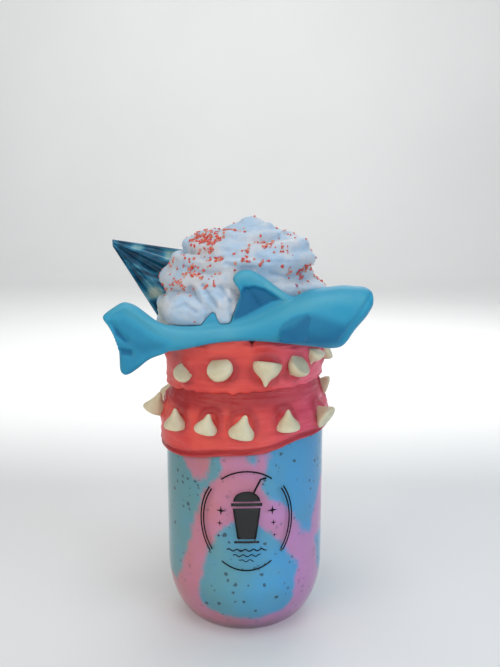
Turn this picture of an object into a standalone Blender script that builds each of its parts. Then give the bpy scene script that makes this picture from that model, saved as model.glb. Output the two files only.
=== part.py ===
"""A milkshake in a glass jar with an icing collar, candy teeth, whipped cream and a gummy shark.

Frame: the origin is the centre of the jar's foot, +Z is up, -Y is the front and +X is to the right.
Lengths in the tables are millimetres and are turned to metres by MM.
"""
import math
import random

import bmesh
import bpy
from mathutils import Matrix, Vector, noise

MM = 0.001
GAP = 0.3
BED_GAP = 0.4
SLIVER = 0.003
SHARP_ANGLE = math.radians(50)

# Jar: a pint jar with a deep rounded bottom, a short shoulder and a straight neck.
JAR_SEGMENTS = 32
JAR_RADIUS = 40.0
JAR_WALL = 2.6
JAR_FOOT_RADIUS = 23.0
JAR_HEEL_HEIGHT = 31.0
JAR_FLOOR = 5.0
JAR_INNER_FOOT_RADIUS = 16.0
JAR_HEEL_STEPS = 6
JAR_SHOULDER_START = 104.0
JAR_SHOULDER_END = 122.0
JAR_SHOULDER_STEPS = 4
JAR_NECK_RADIUS = 33.0
JAR_HEIGHT = 146.0
JAR_RIM_STEPS = 3

MILKSHAKE_TOP = 138.0

# Icing: one collar with two bands round the neck and shoulder; its lower edge sits higher at the right.
ICING_SEGMENTS = 44
ICING_EDGE_HEIGHT = 98.0
ICING_EDGE_TILT = 6.4
ICING_CREASE_HEIGHT = 126.0
ICING_CREASE_FRONT_LIFT = 1.8
ICING_CREASE_SIDE_LIFT = 2.2
ICING_LOWER_RADIUS = 42.3
ICING_SLOPE_HEIGHT = 118.5
ICING_CREASE_RADIUS = 36.4
ICING_UPPER_RADIUS = 38.7
ICING_TOP = 151.0
ICING_TOP_FRONT_LIFT = 1.4
ICING_INNER_RADIUS = 30.6
ICING_LUMP = (0.7, 13.0)
ICING_EDGE_WAVE = (1.6, 22.0)
ICING_CREASE_WAVE = (1.2, 12.0)
ICING_TOP_WAVE = (1.6, 9.0)

# Teeth: kiss-shaped white drops. azimuth, height, lean out of the wall, lean to the right, size, and how far
# the drop's middle lies from the jar's axis.
TOOTH_SEGMENTS = 8
TOOTH_PROFILE = [(5.2, 0.0), (6.0, 1.2), (5.2, 3.6), (2.4, 6.5), (0.8, 9.6)]
TOOTH_MIDDLE = 3.8
TOOTH_UPPER_SHOWN = [
    (-78, 145.2, -40, 10, 0.85, 38.6),
    (-45, 134.0, -32, -40, 0.78, 40.4),
    (-14.7, 138.0, -42, 8, 1.0, 40.8),
    (14.6, 138.2, 14, -10, 1.12, 41.0),
    (36.2, 138.4, -46, -24, 0.96, 40.8),
    (55, 142.2, -18, -12, 0.84, 40.0),
    (80, 140.6, -62, -6, 0.88, 39.4),
]
TOOTH_LOWER_SHOWN = [
    (-86, 112.2, -22, 4, 1.04, 44.5),
    (-48, 112.2, 6, 8, 0.92, 44.0),
    (-22.8, 113.6, 4, 15, 0.9, 44.4),
    (-1, 113.2, 8, 9, 1.03, 44.8),
    (27.2, 114.4, 4, -8, 0.92, 44.2),
    (61, 112.6, -60, 10, 1.02, 42.8),
    (92, 121.5, -70, 0, 0.85, 38.8),
]
TOOTH_UPPER_HIDDEN = 6
TOOTH_LOWER_HIDDEN = 5
TOOTH_UPPER_HEIGHT = 138.5
TOOTH_LOWER_HEIGHT = 113.5
TOOTH_UPPER_RADIUS = 40.4
TOOTH_LOWER_RADIUS = 44.6
TOOTH_HIDDEN_LEAN = (-34, 12)
TOOTH_HIDDEN_TURN = 20
TOOTH_HIDDEN_SHIFT = 3
TOOTH_HIDDEN_SIZE = (0.92, 1.08)
TOOTH_SEED = 5

# Shark: the stations of the body from the tail's root to the snout, as x, underside, back, half width.
SHARK_Y = -36.0
SHARK_RING = 20
SHARK_ROUNDNESS = 2.3
SHARK_BODY = [
    (-50, 149.5, 160.5, 2.6),
    (-43, 147.0, 160.4, 4.2),
    (-35, 147.0, 159.2, 5.8),
    (-26, 148.4, 158.6, 7.0),
    (-13, 151.2, 159.7, 7.8),
    (0, 152.2, 161.2, 8.6),
    (10, 151.9, 165.0, 10.2),
    (20, 150.9, 170.6, 11.8),
    (30, 149.8, 175.2, 13.0),
    (39, 148.8, 176.7, 13.2),
    (45, 150.2, 177.3, 12.4),
    (50, 157.2, 177.0, 10.8),
    (55, 163.2, 176.5, 8.4),
    (58, 168.0, 174.4, 4.8),
]
SHARK_TAIL = [
    (-33, 157.5), (-40, 161.2), (-48, 167.4), (-52.5, 169.5), (-56, 169.3), (-63, 164.6), (-64, 162.2),
    (-61.5, 158.4), (-58.5, 152), (-57.2, 146), (-57, 138.6), (-55, 136), (-52.4, 136.5), (-48.4, 139.2),
    (-43, 143.4), (-33, 148.2),
]
SHARK_DORSAL = [
    (-4, 157), (-3.4, 168), (-1.8, 174), (-4.8, 179.4), (-4.4, 182), (-1.6, 184), (3, 184.4), (10, 180.4),
    (18, 174.4), (27, 169), (24, 160),
]
SHARK_SMALL_DORSAL = [(-20, 157), (-16, 163.4), (-13.6, 165), (-12, 162.6), (-10.5, 157)]
SHARK_PECTORAL = [(32, 163), (25, 162.6), (17.6, 158.8), (15.4, 154.4), (20, 153.2), (29, 155)]
SHARK_PECTORAL_OFFSET = 11.0
SHARK_VOXEL = 1.0
SHARK_TRIANGLES = 1250

# Whipped cream: one piped rope. azimuth, radius of the turn, height, radius of the rope.
# A drop is a soft mass fused to it, two for the peak and the rest over the shark's back: centre, radius across,
# half its height.
CREAM_ROPE = [
    (-110, 28.5, 158.5, 12.6),
    (-80, 30.6, 159.0, 13.4),
    (-52, 28.8, 161.5, 13.8),
    (-34, 24.8, 163.2, 14.2),
    (-20, 21.8, 164.2, 14.5),
    (10, 19.5, 165.5, 15.0),
    (50, 22.5, 166.0, 15.0),
    (95, 26.0, 166.5, 14.6),
    (150, 26.5, 168.5, 14.6),
    (200, 26.5, 171.5, 14.6),
    (245, 26.8, 174.0, 14.6),
    (285, 26.2, 176.0, 14.2),
    (330, 22.4, 180.0, 12.6),
    (375, 20.5, 183.0, 11.6),
    (420, 21.5, 185.5, 11.4),
    (455, 22.0, 186.5, 11.0),
    (500, 20.5, 188.0, 10.6),
    (550, 20.0, 188.4, 10.6),
    (600, 21.4, 187.4, 11.4),
    (640, 21.0, 187.8, 11.2),
    (690, 16.0, 190.0, 10.4),
    (750, 11.5, 192.4, 9.6),
    (820, 7.6, 194.6, 8.6),
    (880, 5.0, 196.6, 7.4),
    (920, 3.6, 198.0, 6.0),
]
CREAM_CENTRE_X = 1.6
CREAM_CENTRE_RISE = (176.0, 190.0)
CREAM_LOBES = 7
CREAM_LOBE_DEPTH = 0.085
CREAM_LOBE_TWIST = 0.35
CREAM_STEP_DEGREES = 6
CREAM_PLUG_RADIUS = 30.0
CREAM_SEAT = 152.5
CREAM_CORE = [(30.2, 152.5), (24.0, 178.0), (12.0, 190.0)]
CREAM_DROPS = [
    (1.0, -1.0, 194.0, 15.5, 9.6),
    (3.6, -1.0, 199.4, 8.0, 7.0),
    (-12.0, -21.0, 170.0, 15.5, 9.5),
    (-24.0, -20.0, 164.0, 17.0, 10.5),
    (-10.0, -33.0, 166.6, 5.2, 6.6),
    (-9.4, -34.2, 163.2, 4.6, 5.4),
    (-19.6, -31.6, 166.4, 4.2, 5.8),
    (-19.2, -33.8, 161.8, 2.3, 4.8),
]
CREAM_VOXEL = 1.5
CREAM_TRIANGLES = 2050

SPRINKLE_COUNT = 40
SPRINKLE_RADIUS = 0.95
SPRINKLE_LENGTH = (0.8, 1.2)
SPRINKLE_WIDTH = (0.6, 0.9)
SPRINKLE_RISE = 0.25
SPRINKLE_SPACING = 3.0
SPRINKLE_CLEARANCE = 2.6
SPRINKLE_LOWEST = 160.0
SPRINKLE_DROP_HEIGHT = 240.0
SPRINKLE_TRIES = 6000
SPRINKLE_SEED = 11
SPRINKLE_PATCH = (-20.0, -4.0, 0.0)
SPRINKLE_PATCH_RADIUS = 13.0

# Candy fan: a pleated sheet whose folds spread from its tip; the wide end is buried in the cream.
FAN_TIP = Vector((-66.4, 10.0, 192.6))
FAN_ANGLES = (-6.0, -58.5)
FAN_LENGTHS = [42.0, 44.5, 47.0, 46.5, 45.0]
FAN_TIP_WIDTH = 3.2
FAN_THICKNESS = 2.2
FAN_PLEATS = 2.5
FAN_PLEAT_DEPTH = 3.6
FAN_TIP_SHARE = 0.15
FAN_PHASE = 0.6
FAN_LEAN = 3.0
FAN_RAYS = 16
FAN_RINGS = 5

COLOURS = {
    "clear_glass": ("E8F0F0", 0.04, 0.9),
    "milkshake": ("B98FB4", 0.45, 0.0),
    "icing": ("C8474A", 0.42, 0.0),
    "white_drop": ("E2DDBE", 0.4, 0.0),
    "gummy_blue": ("2F8FB0", 0.35, 0.0),
    "cream": ("D9E2E6", 0.5, 0.0),
    "glossy_candy": ("123E5A", 0.12, 0.0),
}


def clear_scene():
    for item in list(bpy.data.objects):
        bpy.data.objects.remove(item, do_unlink=True)


def make_materials():
    made = {}
    for name, (colour, roughness, transmission) in COLOURS.items():
        finish = bpy.data.materials.new(name)
        finish.use_nodes = True
        shader = finish.node_tree.nodes["Principled BSDF"]
        channels = [int(colour[start:start + 2], 16) / 255 for start in (0, 2, 4)]
        linear = [channel ** 2.2 for channel in channels]
        shader.inputs["Base Color"].default_value = (*linear, 1)
        shader.inputs["Roughness"].default_value = roughness
        shader.inputs["Metallic"].default_value = 0
        shader.inputs["Transmission Weight"].default_value = transmission
        made[name] = finish
    return made


def add_object(name, mesh, finish=None):
    if isinstance(mesh, bmesh.types.BMesh):
        bmesh.ops.recalc_face_normals(mesh, faces=mesh.faces)
        data = bpy.data.meshes.new(name)
        mesh.to_mesh(data)
        mesh.free()
    else:
        data = mesh
    data.materials.clear()
    if finish is not None:
        data.materials.append(finish)
    item = bpy.data.objects.new(name, data)
    bpy.context.scene.collection.objects.link(item)
    data.shade_smooth()
    data.set_sharp_from_angle(angle=SHARP_ANGLE)
    return item


def baked_mesh(item):
    """The object's mesh with its modifiers applied."""
    graph = bpy.context.evaluated_depsgraph_get()
    return bpy.data.meshes.new_from_object(item.evaluated_get(graph))


def blend(a, b, share):
    return a + (b - a) * share


def smooth_share(value, low, high):
    share = min(max((value - low) / (high - low), 0), 1)
    return share * share * (3 - 2 * share)


def outward(azimuth):
    """Unit vector away from the jar's axis; azimuth 0 is the front, positive to the right."""
    angle = math.radians(azimuth)
    return Vector((math.sin(angle), -math.cos(angle), 0))


def turned(profile, segments):
    """A closed body turned from (radius, height) pairs in millimetres."""
    mesh = bmesh.new()
    points = [mesh.verts.new((radius * MM, 0, height * MM)) for radius, height in profile]
    edges = [mesh.edges.new(pair) for pair in zip(points, points[1:])]
    bmesh.ops.spin(mesh, geom=points + edges, cent=(0, 0, 0), axis=(0, 0, 1), angle=math.tau,
                   steps=segments, use_duplicate=False)
    bmesh.ops.remove_doubles(mesh, verts=mesh.verts, dist=0.00001)
    return mesh


def jar_outside(height):
    """Outer radius of the jar from its straight side up."""
    share = min(max((height - JAR_SHOULDER_START) / (JAR_SHOULDER_END - JAR_SHOULDER_START), 0), 1)
    return JAR_NECK_RADIUS + (JAR_RADIUS - JAR_NECK_RADIUS) * (1 + math.cos(math.pi * share)) / 2


def heel_points(foot_radius, side_radius, floor, top):
    """The quarter round between the jar's foot and its side."""
    points = []
    for step in range(JAR_HEEL_STEPS + 1):
        angle = math.pi / 2 * step / JAR_HEEL_STEPS
        radius = foot_radius + (side_radius - foot_radius) * math.sin(angle)
        points.append((radius, top - (top - floor) * math.cos(angle)))
    return points


def shoulder_points(inset):
    points = []
    for step in range(JAR_SHOULDER_STEPS + 1):
        height = blend(JAR_SHOULDER_START, JAR_SHOULDER_END, step / JAR_SHOULDER_STEPS)
        points.append((jar_outside(height) - inset, height))
    return points


def jar_inside(clearance, top):
    """The inner wall from the floor's centre up to a height, moved inwards by a clearance."""
    side = JAR_RADIUS - JAR_WALL - clearance
    points = [(0, JAR_FLOOR + clearance)]
    points += heel_points(JAR_INNER_FOOT_RADIUS, side, JAR_FLOOR + clearance, JAR_HEEL_HEIGHT)
    points += shoulder_points(JAR_WALL + clearance)
    points.append((JAR_NECK_RADIUS - JAR_WALL - clearance, top))
    return points


def make_jar(finish):
    rim_radius = JAR_WALL / 2
    rim_centre = JAR_NECK_RADIUS - rim_radius
    profile = [(0, 0)]
    profile += heel_points(JAR_FOOT_RADIUS, JAR_RADIUS, 0, JAR_HEEL_HEIGHT)
    profile += shoulder_points(0)
    for step in range(JAR_RIM_STEPS + 1):
        angle = math.pi * step / JAR_RIM_STEPS
        height = JAR_HEIGHT - rim_radius + rim_radius * math.sin(angle)
        profile.append((rim_centre + rim_radius * math.cos(angle), height))
    inside = jar_inside(0, JAR_HEIGHT - rim_radius)
    profile += reversed(inside[:-1])
    return add_object("jar", turned(profile, JAR_SEGMENTS), finish)


def make_milkshake(finish):
    profile = jar_inside(GAP, MILKSHAKE_TOP) + [(0, MILKSHAKE_TOP)]
    return add_object("milkshake", turned(profile, JAR_SEGMENTS), finish)


def lump(azimuth, height, wave):
    """Soft unevenness that closes on itself round the jar; a wave is its amount and its size."""
    amount, size = wave
    place = outward(azimuth) * JAR_RADIUS + Vector((0, 0, height))
    return amount * noise.noise(place / size)


def icing_section(azimuth):
    """Closed outline of the collar at one azimuth, as (radius, height)."""
    turn = math.radians(azimuth)
    edge = ICING_EDGE_HEIGHT + ICING_EDGE_TILT * math.sin(turn) + lump(azimuth, 0, ICING_EDGE_WAVE)
    crease = ICING_CREASE_HEIGHT + ICING_CREASE_FRONT_LIFT * math.cos(turn)
    crease += ICING_CREASE_SIDE_LIFT * math.sin(turn) + lump(azimuth, 300, ICING_CREASE_WAVE)
    top = ICING_TOP + ICING_TOP_FRONT_LIFT * max(0, math.cos(turn)) ** 3
    top += lump(azimuth, 600, ICING_TOP_WAVE)
    low, high, slope = ICING_LOWER_RADIUS, ICING_UPPER_RADIUS, ICING_SLOPE_HEIGHT
    outer = [
        (low - 1.3, edge),
        (low, edge + 1.5),
        (low + 0.3, edge + 5),
        (low - 0.3, blend(edge + 5, slope, 0.4)),
        (low - 1.5, blend(edge + 5, slope, 0.72)),
        (low - 3.2, slope),
        (ICING_CREASE_RADIUS + 1.1, crease - 3.6),
        (ICING_CREASE_RADIUS, crease - 1.2),
        (high - 0.5, crease + 0.4),
        (high + 0.3, crease + 2.4),
        (high + 0.8, blend(crease, top, 0.5)),
        (high + 1.5, top - 4.2),
        (high + 0.4, top - 1.2),
        (high - 3.0, top + 0.2),
    ]
    lumpy = [(radius + lump(azimuth, height, ICING_LUMP), height) for radius, height in outer]
    rim_height = JAR_HEIGHT + GAP
    inner = [
        (ICING_INNER_RADIUS, ICING_TOP - GAP),
        (ICING_INNER_RADIUS, rim_height),
        (JAR_NECK_RADIUS + GAP, rim_height),
    ]
    start = max(JAR_SHOULDER_START, edge + 2)
    for step in range(JAR_SHOULDER_STEPS, -1, -1):
        height = blend(start, JAR_SHOULDER_END, step / JAR_SHOULDER_STEPS)
        inner.append((jar_outside(height) + BED_GAP, height))
    inner.append((jar_outside(edge) + GAP, edge + BED_GAP))
    return lumpy + inner


def make_icing(finish):
    mesh = bmesh.new()
    rings = []
    for step in range(ICING_SEGMENTS):
        azimuth = 360 * step / ICING_SEGMENTS
        ring = []
        for radius, height in icing_section(azimuth):
            place = outward(azimuth) * radius + Vector((0, 0, height))
            ring.append(mesh.verts.new(place * MM))
        rings.append(ring)
    for one, other in zip(rings, rings[1:] + rings[:1]):
        join_rings(mesh, one, other)
    return add_object("icing", mesh, finish)


def join_rings(mesh, one, other):
    count = len(one)
    for index in range(count):
        following = (index + 1) % count
        mesh.faces.new((one[index], one[following], other[following], other[index]))


def tooth_mesh(grow):
    """One drop standing on its base; grow widens it all over."""
    low_radius, low_height = TOOTH_PROFILE[0]
    tip_height = TOOTH_PROFILE[-1][1]
    profile = [(0, low_height - grow), (low_radius + grow, low_height - grow)]
    profile += [(radius + grow, height) for radius, height in TOOTH_PROFILE[1:]]
    profile += [(0, tip_height + 0.5 + grow)]
    return turned(profile, TOOTH_SEGMENTS)


def tooth_matrix(entry, sign):
    azimuth, height, lean_out, lean_side, size, radius = entry
    out = outward(azimuth)
    side = Vector((-out.y, out.x, 0))
    lean_out, lean_side = math.radians(lean_out), math.radians(lean_side)
    along = Vector((0, 0, sign * math.cos(lean_side))) + side * math.sin(lean_side)
    axis = (out * math.sin(lean_out) + along * math.cos(lean_out)).normalized()
    middle = out * radius + Vector((0, 0, height))
    base = middle - axis * TOOTH_MIDDLE * size
    turn = axis.to_track_quat("Z", "X").to_matrix().to_4x4()
    return Matrix.Translation(base * MM) @ turn @ Matrix.Scale(size, 4)


def tooth_row(shown, hidden, height, radius, rng):
    """The teeth that show, then evenly spaced ones round the back."""
    row = list(shown)
    first, last = shown[-1][0], shown[0][0] + 360
    for step in range(1, hidden + 1):
        azimuth = blend(first, last, step / (hidden + 1))
        azimuth += rng.uniform(-TOOTH_HIDDEN_SHIFT, TOOTH_HIDDEN_SHIFT)
        lean_out = rng.uniform(*TOOTH_HIDDEN_LEAN)
        lean_side = rng.uniform(-TOOTH_HIDDEN_TURN, TOOTH_HIDDEN_TURN)
        size = rng.uniform(*TOOTH_HIDDEN_SIZE)
        row.append((azimuth, height + rng.uniform(-1, 1), lean_out, lean_side, size, radius))
    return row


def make_teeth(finish, cutters):
    rng = random.Random(TOOTH_SEED)
    upper = tooth_row(TOOTH_UPPER_SHOWN, TOOTH_UPPER_HIDDEN, TOOTH_UPPER_HEIGHT, TOOTH_UPPER_RADIUS, rng)
    lower = tooth_row(TOOTH_LOWER_SHOWN, TOOTH_LOWER_HIDDEN, TOOTH_LOWER_HEIGHT, TOOTH_LOWER_RADIUS, rng)
    for label, row, sign in (("tooth_upper", upper, -1), ("tooth_lower", lower, 1)):
        for number, entry in enumerate(row, 1):
            for grow in (0, GAP):
                mesh = tooth_mesh(grow)
                bmesh.ops.transform(mesh, matrix=tooth_matrix(entry, sign), verts=mesh.verts)
                name = f"{label}_{number:02d}" if grow == 0 else f"cut_{label}_{number:02d}"
                item = add_object(name, mesh, finish)
                if grow:
                    cutters.append(item)


def body_ring(mesh, station):
    """One cross-section of the shark's body, a rounded box between its underside and its back."""
    x, low, high, half_width = station
    middle, half_height = (low + high) / 2, (high - low) / 2
    power = 2 / SHARK_ROUNDNESS
    ring = []
    for step in range(SHARK_RING):
        angle = math.tau * step / SHARK_RING
        across = math.copysign(abs(math.cos(angle)) ** power, math.cos(angle)) * half_width
        up = math.copysign(abs(math.sin(angle)) ** power, math.sin(angle)) * half_height
        ring.append(mesh.verts.new(Vector((x, SHARK_Y + across, middle + up)) * MM))
    return ring


def outline_inset(outline, amount):
    """The outline moved inwards along the mean of its neighbouring edges' normals."""
    moved = []
    count = len(outline)
    area = sum(outline[i - 1][0] * outline[i][1] - outline[i][0] * outline[i - 1][1] for i in range(count))
    turn = 1 if area > 0 else -1
    for index, (x, z) in enumerate(outline):
        before, after = outline[index - 1], outline[(index + 1) % count]
        run = Vector((after[0] - before[0], after[1] - before[1])).normalized()
        moved.append((x - run.y * amount * turn, z + run.x * amount * turn))
    return moved


def add_blade(mesh, outline, half_thickness, rim, shift=0.0):
    """A fin: a flat outline with a rounded rim, swelling to its thickness inside."""
    layers = [(-1.0, rim), (-0.55, 0), (0.55, 0), (1.0, rim)]
    rings = []
    for share, inset in layers:
        y = SHARK_Y + shift + share * half_thickness
        rings.append([mesh.verts.new(Vector((x, y, z)) * MM) for x, z in outline_inset(outline, inset)])
    for one, other in zip(rings, rings[1:]):
        join_rings(mesh, one, other)
    mesh.faces.new(rings[0])
    mesh.faces.new(rings[-1])


def remeshed(mesh, name, voxel, triangles, smoothing):
    """One skin round the overlapping bodies of a mesh, thinned to about a number of triangles."""
    item = add_object(name, mesh)
    skin = item.modifiers.new("skin", "REMESH")
    skin.mode = "VOXEL"
    skin.voxel_size = voxel * MM
    relax = item.modifiers.new("relax", "SMOOTH")
    relax.factor = 0.5
    relax.iterations = smoothing
    data = baked_mesh(item)
    bpy.data.objects.remove(item)
    thick = add_object(name, data)
    thin = thick.modifiers.new("thin", "DECIMATE")
    thin.ratio = triangles / (2 * len(data.polygons))
    result = baked_mesh(thick)
    bpy.data.objects.remove(thick)
    return result


def make_shark(finish):
    mesh = bmesh.new()
    rings = [body_ring(mesh, station) for station in SHARK_BODY]
    for one, other in zip(rings, rings[1:]):
        join_rings(mesh, one, other)
    mesh.faces.new(rings[0])
    mesh.faces.new(rings[-1])
    add_blade(mesh, SHARK_TAIL, 4.0, 2.2)
    add_blade(mesh, SHARK_DORSAL, 3.4, 1.8)
    add_blade(mesh, SHARK_SMALL_DORSAL, 2.2, 1.0)
    for side in (-1, 1):
        add_blade(mesh, SHARK_PECTORAL, 2.0, 0.8, side * SHARK_PECTORAL_OFFSET)
    data = remeshed(mesh, "shark", SHARK_VOXEL, SHARK_TRIANGLES, 2)
    return add_object("shark", data, finish)


def rope_stations():
    """The piped rope's centre line, read from its table by smooth steps."""
    stations = []
    for one, other in zip(CREAM_ROPE, CREAM_ROPE[1:]):
        steps = max(2, round((other[0] - one[0]) / CREAM_STEP_DEGREES))
        for step in range(steps):
            share = step / steps
            azimuth, radius, height, thickness = [blend(a, b, share) for a, b in zip(one, other)]
            stations.append((azimuth, radius, height, thickness))
    stations.append(CREAM_ROPE[-1])
    return stations


def rope_centre(station):
    azimuth, radius, height, _ = station
    shift = CREAM_CENTRE_X * smooth_share(height, *CREAM_CENTRE_RISE)
    return outward(azimuth) * radius + Vector((shift, 0, height))


def add_rope(mesh):
    stations = rope_stations()
    centres = [rope_centre(station) for station in stations]
    count = CREAM_LOBES * 4
    rings = []
    for index, station in enumerate(stations):
        ahead = centres[min(index + 1, len(centres) - 1)]
        behind = centres[max(index - 1, 0)]
        run = (ahead - behind).normalized()
        out = outward(station[0])
        out = (out - run * out.dot(run)).normalized()
        up = run.cross(out)
        twist = math.radians(station[0]) * CREAM_LOBE_TWIST
        ring = []
        for step in range(count):
            angle = math.tau * step / count
            swell = 1 + CREAM_LOBE_DEPTH * math.cos(CREAM_LOBES * (angle + twist))
            place = centres[index] + (out * math.cos(angle) + up * math.sin(angle)) * station[3] * swell
            ring.append(mesh.verts.new(place * MM))
        rings.append(ring)
    for one, other in zip(rings, rings[1:]):
        join_rings(mesh, one, other)
    mesh.faces.new(rings[0])
    mesh.faces.new(rings[-1])


def add_body(mesh, other):
    """Copies one bmesh's faces into another."""
    data = bpy.data.meshes.new("spare")
    bmesh.ops.recalc_face_normals(other, faces=other.faces)
    other.to_mesh(data)
    other.free()
    mesh.from_mesh(data)
    bpy.data.meshes.remove(data)


def add_ball(mesh, centre, radius, height):
    ball = bmesh.new()
    bmesh.ops.create_icosphere(ball, subdivisions=3, radius=MM)
    grow = Matrix.Diagonal((radius, radius, height, 1))
    bmesh.ops.transform(ball, matrix=Matrix.Translation(centre * MM) @ grow, verts=ball.verts)
    add_body(mesh, ball)


def subtract(item, cutters):
    """Cuts the objects out of an item and keeps its largest piece."""
    group = bpy.data.collections.new("cutters")
    for cutter in cutters:
        group.objects.link(cutter)
    cut = item.modifiers.new("cut", "BOOLEAN")
    cut.operation = "DIFFERENCE"
    cut.operand_type = "COLLECTION"
    cut.collection = group
    cut.solver = "EXACT"
    return replace_mesh(item, largest_piece(baked_mesh(item)))


def unite(item, others):
    """Fuses the objects to an item, then removes them."""
    group = bpy.data.collections.new("fused")
    for other in others:
        group.objects.link(other)
    fuse = item.modifiers.new("fuse", "BOOLEAN")
    fuse.operation = "UNION"
    fuse.operand_type = "COLLECTION"
    fuse.collection = group
    fuse.solver = "EXACT"
    data = largest_piece(baked_mesh(item))
    for other in others:
        bpy.data.objects.remove(other)
    return replace_mesh(item, data)


def replace_mesh(item, data):
    finish = item.data.materials[0] if item.data.materials else None
    item.modifiers.clear()
    item.data = data
    data.materials.clear()
    if finish is not None:
        data.materials.append(finish)
    data.shade_smooth()
    data.set_sharp_from_angle(angle=SHARP_ANGLE)
    return item


def largest_piece(data):
    """Drops loose scraps, sliver edges and doubled points from a cut mesh."""
    mesh = bmesh.new()
    mesh.from_mesh(data)
    bmesh.ops.triangulate(mesh, faces=mesh.faces)
    bmesh.ops.dissolve_degenerate(mesh, dist=SLIVER * MM, edges=mesh.edges)
    pieces = []
    unseen = set(mesh.verts)
    while unseen:
        start = unseen.pop()
        piece, front = {start}, [start]
        while front:
            corner = front.pop()
            for edge in corner.link_edges:
                other = edge.other_vert(corner)
                if other in unseen:
                    unseen.discard(other)
                    piece.add(other)
                    front.append(other)
        pieces.append(piece)
    pieces.sort(key=len)
    for piece in pieces[:-1]:
        bmesh.ops.delete(mesh, geom=list(piece), context="VERTS")
    mesh.to_mesh(data)
    mesh.free()
    return data


def grown_copy(item, name, amount):
    """A copy whose surface stands out by an amount, for cutting its bed."""
    mesh = bmesh.new()
    mesh.from_mesh(item.data)
    mesh.normal_update()
    moves = [(corner, corner.co + corner.normal * amount * MM) for corner in mesh.verts]
    for corner, place in moves:
        corner.co = place
    return add_object(name, mesh)


def make_cream(finish):
    mesh = bmesh.new()
    add_rope(mesh)
    bottom = MILKSHAKE_TOP - GAP
    plug = [(0, bottom), (CREAM_CORE[0][0], bottom)] + CREAM_CORE
    add_body(mesh, turned(plug + [(0, CREAM_CORE[-1][1])], JAR_SEGMENTS))
    for x, y, z, radius, height in CREAM_DROPS:
        add_ball(mesh, Vector((x, y, z)), radius, height)
    data = remeshed(mesh, "whipped_cream", CREAM_VOXEL, CREAM_TRIANGLES, 2)
    return add_object("whipped_cream", data, finish)


def neck_cutter():
    """Everything below the cream's seat outside the neck, and below the milkshake's top inside it."""
    far = JAR_RADIUS * 2
    low = MILKSHAKE_TOP / 2
    seat, inner = CREAM_SEAT, CREAM_PLUG_RADIUS
    profile = [(0, low), (far, low), (far, seat), (inner, seat), (inner, MILKSHAKE_TOP + GAP),
               (0, MILKSHAKE_TOP + GAP)]
    return add_object("cut_neck", turned(profile, JAR_SEGMENTS))


def sprinkle(rng, place, normal):
    """One sugar crystal, half sunk in the cream."""
    crystal = bmesh.new()
    bmesh.ops.create_cube(crystal, size=2 * SPRINKLE_RADIUS * MM)
    sizes = [rng.uniform(*SPRINKLE_LENGTH), rng.uniform(*SPRINKLE_WIDTH), rng.uniform(*SPRINKLE_WIDTH)]
    stretch = Matrix.Diagonal((*sizes, 1))
    spin = Matrix.Rotation(rng.uniform(0, math.tau), 4, "Z")
    turn = normal.to_track_quat("Z", "X").to_matrix().to_4x4() @ spin
    sunk = place + normal * SPRINKLE_RISE * SPRINKLE_RADIUS * MM
    bmesh.ops.transform(crystal, matrix=Matrix.Translation(sunk) @ turn @ stretch, verts=crystal.verts)
    return add_object("sprinkle", crystal)


def add_sprinkles(cream, neighbours):
    """Crystals dropped on the cream: a dense patch at the upper left, the rest spread over it."""
    rng = random.Random(SPRINKLE_SEED)
    bpy.context.view_layer.update()
    crystals = []
    places = []
    tries = 0
    while len(crystals) < SPRINKLE_COUNT and tries < SPRINKLE_TRIES:
        tries += 1
        if len(crystals) < SPRINKLE_COUNT // 4:
            patch = Vector(SPRINKLE_PATCH)
            spread = SPRINKLE_PATCH_RADIUS
            start = patch + Vector((rng.uniform(-spread, spread), rng.uniform(-2 * spread, spread), 0))
        else:
            start = Vector((rng.uniform(-JAR_RADIUS, JAR_RADIUS), rng.uniform(-JAR_RADIUS, JAR_RADIUS), 0))
        start.z = SPRINKLE_DROP_HEIGHT
        hit, place, normal, _ = cream.ray_cast(start * MM, Vector((0, 0, -1)))
        if not hit or place.z < SPRINKLE_LOWEST * MM:
            continue
        if any((place - other).length < SPRINKLE_SPACING * MM for other in places):
            continue
        if any((item.closest_point_on_mesh(place)[1] - place).length < SPRINKLE_CLEARANCE * MM
               for item in neighbours):
            continue
        places.append(place.copy())
        crystals.append(sprinkle(rng, place, normal))
    return unite(cream, crystals)


def fan_point(ray, ring, side):
    """A point on the pleated sheet: ray runs across the folds, ring from the tip to the wide end."""
    angle = math.radians(blend(*FAN_ANGLES, ray))
    spot = ray * (len(FAN_LENGTHS) - 1)
    index = min(int(spot), len(FAN_LENGTHS) - 2)
    length = blend(FAN_LENGTHS[index], FAN_LENGTHS[index + 1], spot - index)
    along = Vector((math.cos(angle), 0, math.sin(angle)))
    across = Vector((0, 0, -1)) * (ray - 0.5) * FAN_TIP_WIDTH * (1 - ring)
    wave = math.sin(math.tau * FAN_PLEATS * ray + FAN_PHASE)
    depth = FAN_PLEAT_DEPTH * blend(FAN_TIP_SHARE, 1, ring) * wave
    fold = Vector((0, depth - FAN_LEAN * ring, 0))
    return FAN_TIP + along * length * ring + across + fold + Vector((0, side * FAN_THICKNESS / 2, 0))


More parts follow.
